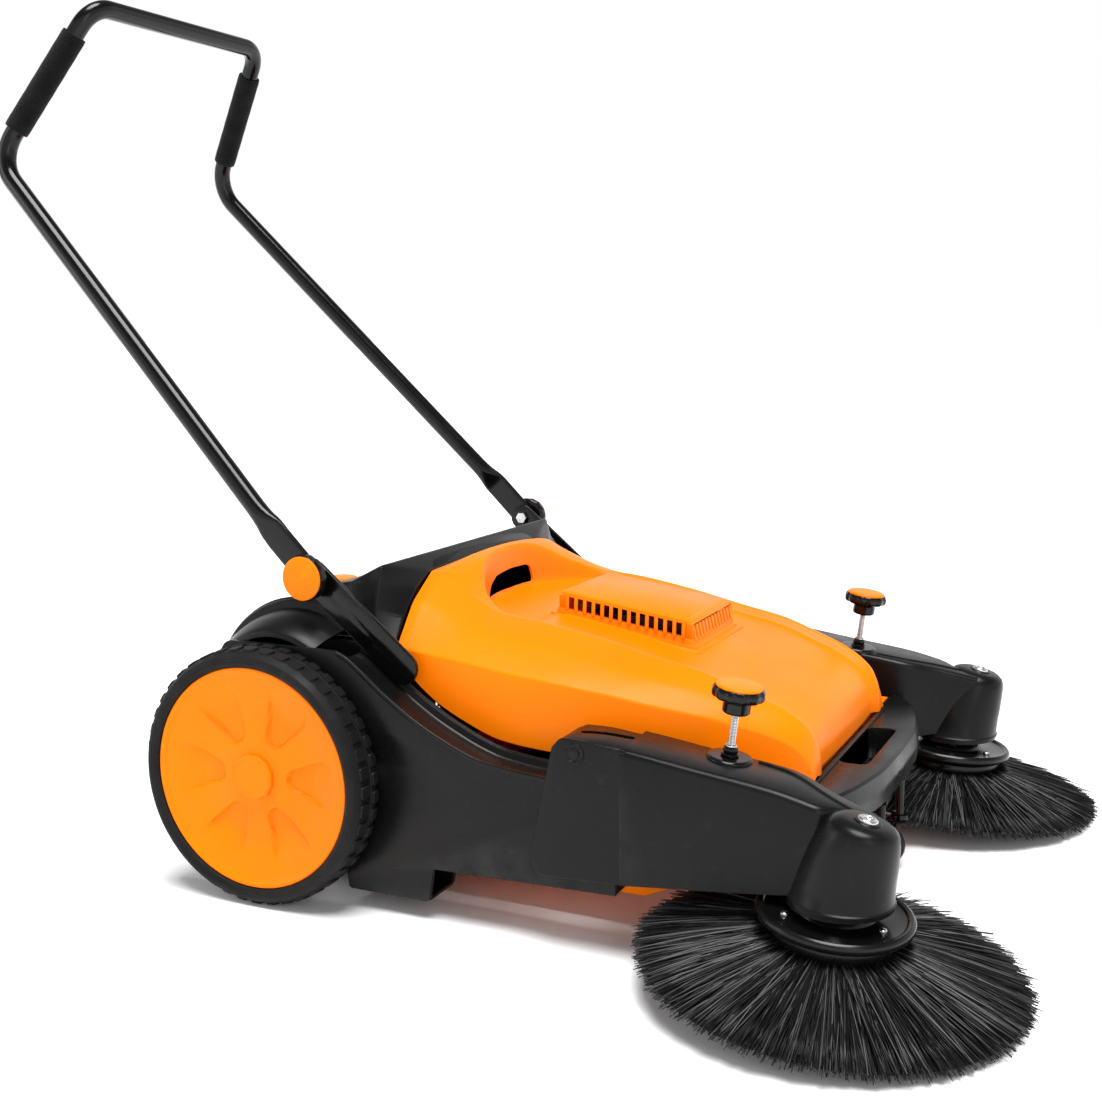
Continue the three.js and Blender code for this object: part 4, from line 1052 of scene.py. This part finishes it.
def side_frames():
    """Side panel, inner wall and the trough along the fender line, with a drain slot."""
    line_x = np.linspace(430, 96, 60)
    fender = [(x, z) for x, z in zip(line_x, fender_z(line_x))]
    back = rounded([(90, 296.5), (-60, 297), (-92, 250), (-92, 48), (98, 48), (102, 22), (206, 22),
            (212, 61), (430, 66)], [0, 12, 16, 6, 2, 4, 4, 3, 0], 5, closed=False)
    outline = fender + [tuple(p) for p in back]
    panel = plate_xz(outline, *FRAME_SKIN)
    wheel_hole = about_y(turned([(0.01, 300), (80, 300), (80, 345), (0.01, 345)], 96), 0, WHEEL_R)
    inner = plate_xz(outline, *FRAME_WALL)
    drop = 10.0
    section = [(270.5, -4), (272, 0.5), (276, -drop + 1), (284, -drop), (310, -drop), (317, -drop + 3),
            (320.5, -0.5), (322.6, 1.4), (326.9, 1.0), (326.9, -3), (321, -drop - 4),
            (270.5, -drop - 4)]
    smooth_section = rounded([(y, z) for y, z in section], [0, 2, 4, 4, 6, 6, 2, 2, 1.5, 0, 0, 0], 4)
    rows = []
    for x in np.linspace(430, 92, 80):
        z = float(fender_z(x))
        slope = (float(fender_z(x + 2)) - float(fender_z(x - 2))) / 4 if 94 < x < 428 else 0
        n = math.hypot(1, slope)
        rows.append([(x - dz * slope / n, y, z + dz / n) for y, dz in smooth_section])
    trough = surface(rows, around=True, caps=True)
    floor = plate_xz([(172, 60), (430, 66), (430, 70), (172, 64)], 269, 323)
    front = block((426, 430), (269, 323), (68, 170))
    boss = about_y(lathe([(0.01, 321), (9, 321), (9, 334.8), (5.6, 334.8), (5.6, 341.6), (0.01, 341.6)],
            [0, 0, 0.5, 0, 0.6, 0], 3, 32), *ARM_PIVOT)
    chamber = block((102, 206), (270, 322), (22, 26))
    for side, sign in SIDES.items():
        piece(f"{side}_side_panel", on_side(panel, sign), f"{side}_side_frame", edge=1.6,
              cuts=[on_side(wheel_hole, sign)])
        piece(f"{side}_inner_wall", on_side(inner, sign), f"{side}_side_frame", edge=1.2, replaces=[])
        slot = on_side(plate_xy(capsule((322, 301), (349, 301), 6.5), 150, 200), sign)
        piece(f"{side}_fender_trough", on_side(trough, sign), f"{side}_side_frame", cuts=[slot],
              replaces=[], smooth=50)
        piece(f"{side}_frame_webs", on_side(together(floor, front, chamber), sign),
              f"{side}_side_frame", edge=0.8, replaces=[])
        piece(f"{side}_arm_boss", on_side(boss, sign), f"{side}_side_frame", replaces=[])


# ---------------------------------------------------------------- brush housing and rear cover
def brush_housing():
    """The domed housing over the roller brush, its beads and its height dial."""
    x, z, r = HOUSING["x"], HOUSING["z"], HOUSING["r"]
    widths = [(-321, 94), (-319, 97), (-312, 101), (-300, 107), (-282, 111.5), (-266, 114.5),
            (-264.5, 122), (-262, 124)]
    widths += [(w, 124) for w in (-200, -150, -100, -50, 0)]
    stations = widths + [(-y, radius) for y, radius in reversed(widths[:-1])]
    rows = []
    for y, radius in stations:
        outer, inner = [], []
        low = math.radians(180)
        high = math.radians(55)
        for k in range(41):
            a = low + (high - low) * k / 40
            outer.append((x + radius * math.cos(a), y, z + radius * math.sin(a)))
            inner.append((x + (radius - 4) * math.cos(a), y, z + (radius - 4) * math.sin(a)))
        foot = 46 if abs(y) < 264 else 215
        outer.insert(0, (x - radius + (4 if foot < 100 else 0), y, foot))
        inner.insert(0, (x - radius + (8 if foot < 100 else 4), y, foot))
        rows.append(outer + inner[::-1])
    shell = surface(rows, around=True, caps=True)
    seams = together(*[tube([(x + (r + 0.2) * math.cos(a), y, z + (r + 0.2) * math.sin(a))
            for a in np.linspace(math.radians(178), math.radians(72), 40)], 1.8, 8)
            for y in (-255, 255)])
    ribs = together(*[block((x - r - 1.2, x - r + 3), (-250, 250), (h, h + 4)) for h in (70, 84)])
    piece("brush_hood_shell", shell, "brush_housing", smooth=40)
    piece("brush_hood_beads", together(seams, ribs), "brush_housing", replaces=[], smooth=40)
    knob = scalloped(rounded([(0.01, 339), (18, 339), (19, 340.5), (19, 345), (17.4, 347), (0.01, 347)],
            [0, 1, 1, 2, 1, 0], 4), 12, 10, 1.2)
    stem = turned([(0.01, 296), (5, 296), (5, 340), (0.01, 340)], 20)
    place = Matrix.Translation((-12, -150, 0))
    piece("roller_height_dial", moved(together(knob, stem), place), "brush_height_knob")


def rear_cover():
    """A faceted cover: its top runs forward to the hood, and a glossy panel is let into it."""
    low, ridge = 357.5, 380.0
    half = [[(26, 0, 353), (50, 0, low), (94, 0, ridge), (114.4, 0, 366.2), (114.4, 0, 350)],
            [(26, 120, 353), (50, 120, low), (94, 120, ridge), (114.4, 120, 364.2), (114.4, 120, 348)],
            [(26, 228, 353), (50, 228, low), (94, 228, ridge), (114.8, 150, 362.6), (114.8, 150, 346)],
            [(26, 237, 336), (50, 237, 340), (95, 238, 356), (118.5, 188, 349), (117.5, 187, 334)],
            [(26, 250, 312), (50, 250, 314), (97, 251, 328), (125.5, 232, 321), (123.5, 229, 308)],
            [(26, 263, 299), (50, 263, 300), (100, 263.5, 300), (131, 260.6, 291.5), (129, 258, 280)]]
    rows = [[(x, -y, z) for x, y, z in row] for row in reversed(half)] + half[1:]
    obj = linked("rear_cover_shell", mesh_of("rear_cover_shell", surface(rows)))
    if sum(p.normal.z for p in obj.data.polygons) < 0:
        obj.data.flip_normals()
    soften(obj, 3.0, 4, 12)
    wall = obj.modifiers.new("wall", "SOLIDIFY")
    wall.thickness, wall.offset = 3.0 * MM, -1
    settle(obj)
    finished(obj, "rear_cover", replaces=["rear_cover"], smooth=24)
    on_slope = lambda x, y: ridge - (x - 94) * (ridge - 366.2 + abs(y) ** 2 * 1.6e-4) / 20.4
    edge = rounded([(113.4, -138), (106, -126), (101.5, -90), (99.5, -40), (99.5, 40), (101.5, 90),
            (106, 126), (113.4, 138)], [0, 6, 20, 20, 20, 20, 6, 0], 4, closed=False)
    rows = [[(x, y, on_slope(x, y) + lift) for x, y in edge] for lift in (-1.5, 1.1)]
    piece("rear_cover_panel", surface(rows, around=True, caps=True), "rear_cover", edge=0.5,
          replaces=[], slot="black_gloss")


# ---------------------------------------------------------------- side brush arms
ARM_TOP = ([372, 400, 440, 520, 600, 660, 700, 720], [232, 232, 228, 217, 206, 191.5, 181.5, 176.5])
ARM_FOOT = ([440, 500, 560, 640, 700], [84, 90, 96, 106, 118])
ARM_OUT = ([440, 636, 644, 650, 656, 664, 676, 700], [340, 340, 339, 336, 331, 327, 324, 322])
ARM_IN = ([440, 592, 604, 616, 640, 676, 700], [257, 257, 259, 263.5, 276, 289.5, 298])


def arm_rows():
    """The arm is a deep channel, open below, that narrows towards the brush."""
    rows = []
    for x in np.concatenate([np.linspace(440, 590, 12), np.linspace(598, 694, 36)]):
        top, foot = float(monotone(*ARM_TOP, x)), float(monotone(*ARM_FOOT, x))
        out, inn = float(monotone(*ARM_OUT, x)), float(monotone(*ARM_IN, x))
        row = []
        for t in (0, 4):
            corners = [(inn + t, foot), (inn + t, top - t), (out - t, top - t), (out - t, foot)]
            path = rounded(corners, [0, 7 - t * 0.8, 7 - t * 0.8, 0], 6, closed=False)
            row += [(x, y, z) for y, z in (path if t == 0 else path[::-1])]
        rows.append(row)
    return rows


def arm_end():
    """The round end that leans out over the brush."""
    keys = [(97, 52.0), (103.5, 52.0), (105, 50.2), (118, 47.8), (132, 45.4), (148, 42.6), (162, 39.8),
            (172, 37.2), (178, 34.6), (182.5, 31), (185.3, 26), (186.6, 20), (187.0, 12), (187.0, 0.01)]
    rows = []
    for shrink in (0, 4):
        ring_keys = keys if shrink == 0 else keys[::-1]
        for z, r in ring_keys:
            x = float(np.interp(z, [97, 128, 168, 187], [664.5, 672, 684, 692]))
            y = float(np.interp(z, [97, 128, 168, 187], [322.5, 326, 331, 333.6]))
            radius = max(r - shrink, 0.01)
            height = z - (shrink if r < 38 else 0)
            row = []
            for k in range(72):
                a = 2 * math.pi * k / 72
                tilt = 0.25 if z > 150 else 0.25 * (z - 97) / 53
                row.append((x + radius * math.cos(a), y + radius * math.sin(a),
                        height - tilt * radius * math.cos(a)))
            rows.append(row)
    return surface(rows, around=True, along=True)


def arms():
    """Each side brush arm: channel, round end, hinge plate, lid and seats."""
    outline = rounded([(345, 80), (338, 101), (364, 222), (374, 233), (400, 232), (441, 228),
            (441, 84)], [10, 12, 9, 8, 20, 0, 0], 6)
    plate = plate_xz(outline, *ARM_SKIN)
    body = surface(arm_rows(), around=True, caps=True)
    lid_rows = []
    for x in np.linspace(372, 446, 12):
        top = float(monotone(*ARM_TOP, x))
        ease = 1 - math.sqrt(max(0.0, 1 - (1 - min(1, (x - 372) / 8)) ** 2))
        lid_rows.append([(x, y, z) for y, z in rounded([(275 + 8 * ease, top - 5 - 2 * ease),
                (275 + 8 * ease, top - 2 * ease), (339.5, top - 2 * ease), (339.5, top - 5 - 2 * ease)],
                [1, 2, 2.5, 1], 3)])
    lid = surface(lid_rows, around=True, caps=True)
    slot = plate_xy(capsule((388, 306), (436, 296), 4.6), 200, 260)
    pad = lathe([(4.4, -14), (22, -14), (24.2, -11), (24.2, -2.6), (22.4, -0.8), (19.5, -0.6),
            (4.4, -0.6)], [0, 1, 1.5, 1.5, 1, 0.5, 0], 4, 72)
    boss = about_y(lathe([(5.8, 339), (11.2, 339), (11.2, 341.0), (10.2, 341.6), (8.8, 341.4),
            (8.2, 340.4), (5.8, 340.4)], [0, 0, 0.5, 0.5, 0.4, 0.4, 0], 3, 48), *ARM_PIVOT)
    groove = []
    for x in np.linspace(566, 676, 30):
        inn = float(monotone(*ARM_IN, x)) + 13 + (x - 566) * 0.12
        groove.append((x, inn, float(monotone(*ARM_TOP, x)) + 0.2))
    bead = tube(groove, 1.5, 8)
    seat = lathe([(5.4, -8), (14.5, -8), (14.5, -3.8), (13, -2.6), (5.4, -2.6)], [0, 0, 1, 1, 0], 3, 48)
    for side, sign in SIDES.items():
        node = f"{side}_arm_cover"
        piece(f"{side}_arm_channel", on_side(body, sign), node, smooth=40)
        piece(f"{side}_arm_end", on_side(arm_end(), sign), node, replaces=[], smooth=40)
        piece(f"{side}_arm_plate", on_side(plate, sign), node, edge=1.4, replaces=[])
        piece(f"{side}_arm_lid", on_side(lid, sign), node, cuts=[on_side(slot, sign)], replaces=[])
        piece(f"{side}_dial_pad", moved(pad, standing(KNOB["at"], sign, KNOB["lean"])), node,
              replaces=[], slot="black_gloss")
        piece(f"{side}_pivot_boss", on_side(boss, sign), node, replaces=[])
        piece(f"{side}_arm_bead", on_side(bead, sign), node, replaces=[])
        piece(f"{side}_bolt_seat", moved(seat, standing(ARM_BOLT["at"], sign, ARM_BOLT["lean"])), node,
              replaces=[])


# ---------------------------------------------------------------- bumper
def bumper():
    """A bowed bar with a carrying slot, its lip, rails and caster mounts."""
    knots = [0, 80, 130, 180, 217, 252.5]
    reach = [658.5, 656.5, 650, 639, 624, 600]
    front = [(float(monotone(knots, reach, abs(y))), y) for y in np.linspace(-252, 252, 61)]
    slot = plate_xy(rounded([(601, -80), (634, -80), (634, 80), (601, 80)], 9, 5), 100, 200)
    section = [(0.0, 124), (-0.6, 135), (0.4, 138), (0.4, 145), (-0.6, 148), (-1.6, 160), (-4.0, 163)]
    rows = [[(592, y, 124)] + [(x + out, y, z) for out, z in section] + [(592, y, 163)] for x,
            y in front]
    obj = linked("bumper_bar", mesh_of("bumper_bar", surface(rows, around=True, caps=True)))
    carve(obj, slot)
    soften(obj, 1.2, angle=40)
    finished(obj, "front_bumper", replaces=["front_bumper"], smooth=30)
    for side, sign in SIDES.items():
        rail = together(block((402, 594), (248.5, 252.5), (126, 158)),
                block((402, 424), (248.5, 265.7), (126, 158)))
        piece(f"{side}_bumper_rail", on_side(rail, sign), "front_bumper", edge=0.8, replaces=[])
    lip = block((595.6, 601), (-166, 166), (120, 165.5))
    piece("bumper_lip", lip, "front_bumper", edge=1.6, replaces=[])
    brackets = together(*[block((636, 654), (s * 52 - 14, s * 52 + 14), (113, 126)) for s in (-1, 1)])
    piece("caster_mounts", brackets, "front_bumper", edge=1.5, replaces=[])


# ---------------------------------------------------------------- roller brush
def roller_brush():
    """Rows of stiff tufts set round the shaft."""
    blade = tube([(33, 0, 0), (60, 0.6, 0), (87.5, 2.2, 0)], [2.6, 3.4, 4.6], 6,
            thickness_axis=(0, 0, 1))
    rows = []
    for k in range(42):
        mesh = grown("roller_tufts", blade, RING, MATERIALS["bristle"], Count=14, Phase=k * 0.11)
        rows.append(set_down(mesh, Matrix.Translation((61.6, -246 + k * 12.0, 90))
                @ Matrix.Rotation(math.radians(90), 4, "X")))
    bm = bmesh.new()
    for mesh in rows:
        bm.from_mesh(mesh)
    whole = bpy.data.meshes.new("roller_tufts")
    bm.to_mesh(whole)
    bm.free()
    finished(linked("roller_tuft_rows", whole), "roller_bristles", replaces=["roller_bristles"],
            smooth=50)


# How far the edges of the CAD solids that keep their shape are rounded, in mm.
PAIRED_EDGES = {"handle_bracket": 1.2, "wheel_pulley": 0.6, "stub_axle": 0.6, "roller_bearing": 0.4,
        "caster_fork": 0.5, "caster_wheel": 0.5, "arm_belt": 0.3, "arm_pulley": 0.3,
        "brush_spindle": 0.4,}
SINGLE_EDGES = {"hopper_bin": 2.0, "drive_gear": 0.4, "roller_pinion": 0.3, "roller_shaft": 0.8}


# ---------------------------------------------------------------- studio
# Metres and watts: a wide floor, a soft sky panel and two soft boxes, each with place, aim, size and power.
FLOOR = 60.0
SKY_PANEL = {"strength": 4.4, "width": 34}
SOFT_BOXES = [
    ("front_box", (2.2, -2.2, 1.6), (0.2, 0.0, 0.3), (1.2, 1.6), 10),
    ("left_box", (-2.4, -1.6, 1.4), (-0.1, -0.1, 0.3), (0.8, 1.8), 9),
]
CAMERA = {"at": (989.4, -1675.9, 656.4), "turn": (25.90, 7.34, -0.62), "lens": 47.715,
        "shift": (0.0205, -0.0313)}


def studio():
    """A pale floor, a white surround and soft light."""
    mesh = bpy.data.meshes.new("floor")
    mesh.from_pydata([(x, y, -0.0002) for x, y in ((-FLOOR, -FLOOR), (FLOOR, -FLOOR), (FLOOR, FLOOR),
            (-FLOOR, FLOOR))], [], [(0, 1, 2, 3)])
    floor = linked("floor", mesh)
    paper = Finish("paper_floor")
    paper.colour(paper.ramp(paper.noise(2.0), [(0.3, (0.93, 0.93, 0.93)), (0.7, (0.95, 0.95, 0.95))]))
    paper.roughness(paper.ramp(paper.noise(8.0), [(0.3, 0.8), (0.7, 0.95)]))
    floor.data.materials.append(paper.material)

    world = bpy.data.worlds.new("studio")
    bpy.context.scene.world = world
    world.use_nodes = True
    # White round the horizon and dimmer overhead, where the sky panel takes over.
    nodes, links = world.node_tree.nodes, world.node_tree.links
    direction = nodes.new("ShaderNodeTexCoord")
    split = nodes.new("ShaderNodeSeparateXYZ")
    fade = nodes.new("ShaderNodeValToRGB")
    fade.color_ramp.elements[0].position, fade.color_ramp.elements[0].color = 0.40, (1, 1, 1, 1)
    fade.color_ramp.elements[1].position, fade.color_ramp.elements[1].color = 0.62, (0.24, 0.24, 0.24, 1)
    links.new(direction.outputs["Generated"], split.inputs["Vector"])
    links.new(split.outputs["Z"], fade.inputs["Fac"])
    links.new(fade.outputs["Color"], nodes["Background"].inputs["Color"])

    def lamp(kind, name, at, target, energy):
        data = bpy.data.lights.new(name, kind)
        data.energy = energy
        obj = bpy.data.objects.new(name, data)
        obj.location = at
        obj.rotation_mode = "QUATERNION"
        obj.rotation_quaternion = (Vector(target) - Vector(at)).to_track_quat("-Z", "Y")
        bpy.context.scene.collection.objects.link(obj)
        return data

    lamp("SUN", "sky_panel", (0.4, -0.5, 3.0), (0.0, 0.0, 0.0),
         SKY_PANEL["strength"]).angle = math.radians(SKY_PANEL["width"])
    for name, at, target, size, power in SOFT_BOXES:
        box = lamp("AREA", name, at, target, power)
        box.shape, box.size, box.size_y = "RECTANGLE", size[0], size[1]


def camera():
    """Looks from the front and to one side, a little down."""
    position = Vector(CAMERA["at"]) * MM + Vector((AXLE_X, 0, 0))
    azimuth, elevation, roll = (math.radians(v) for v in CAMERA["turn"])
    look = Vector((-math.sin(azimuth) * math.cos(elevation), math.cos(azimuth) * math.cos(elevation),
            -math.sin(elevation)))
    right = look.cross(Vector((0, 0, 1))).normalized()
    up = right.cross(look)
    rolled_right = math.cos(roll) * right + math.sin(roll) * up
    rolled_up = -math.sin(roll) * right + math.cos(roll) * up
    data = bpy.data.cameras.new("camera")
    data.lens, data.sensor_width, data.sensor_fit = CAMERA["lens"], 36, "HORIZONTAL"
    data.shift_x, data.shift_y = CAMERA["shift"]
    eye = bpy.data.objects.new("camera", data)
    turn = Matrix((rolled_right, rolled_up, -look)).transposed().to_4x4()
    eye.matrix_world = Matrix.Translation(position) @ turn
    bpy.context.scene.collection.objects.link(eye)
    bpy.context.scene.camera = eye


bpy.context.scene.view_settings.view_transform = "Standard"
camera()
studio()
tyres()
wheel_discs()
side_brushes()
handle()
height_knobs()
clamp_knobs()
hood()
vent()
side_frames()
brush_housing()
rear_cover()
arms()
bumper()
roller_brush()
for node_name, edge_mm in SINGLE_EDGES.items():
    softened_node(node_name, edge_mm)
for node_name, edge_mm in PAIRED_EDGES.items():
    for side in SIDES:
        softened_node(f"{side}_{node_name}", edge_mm)
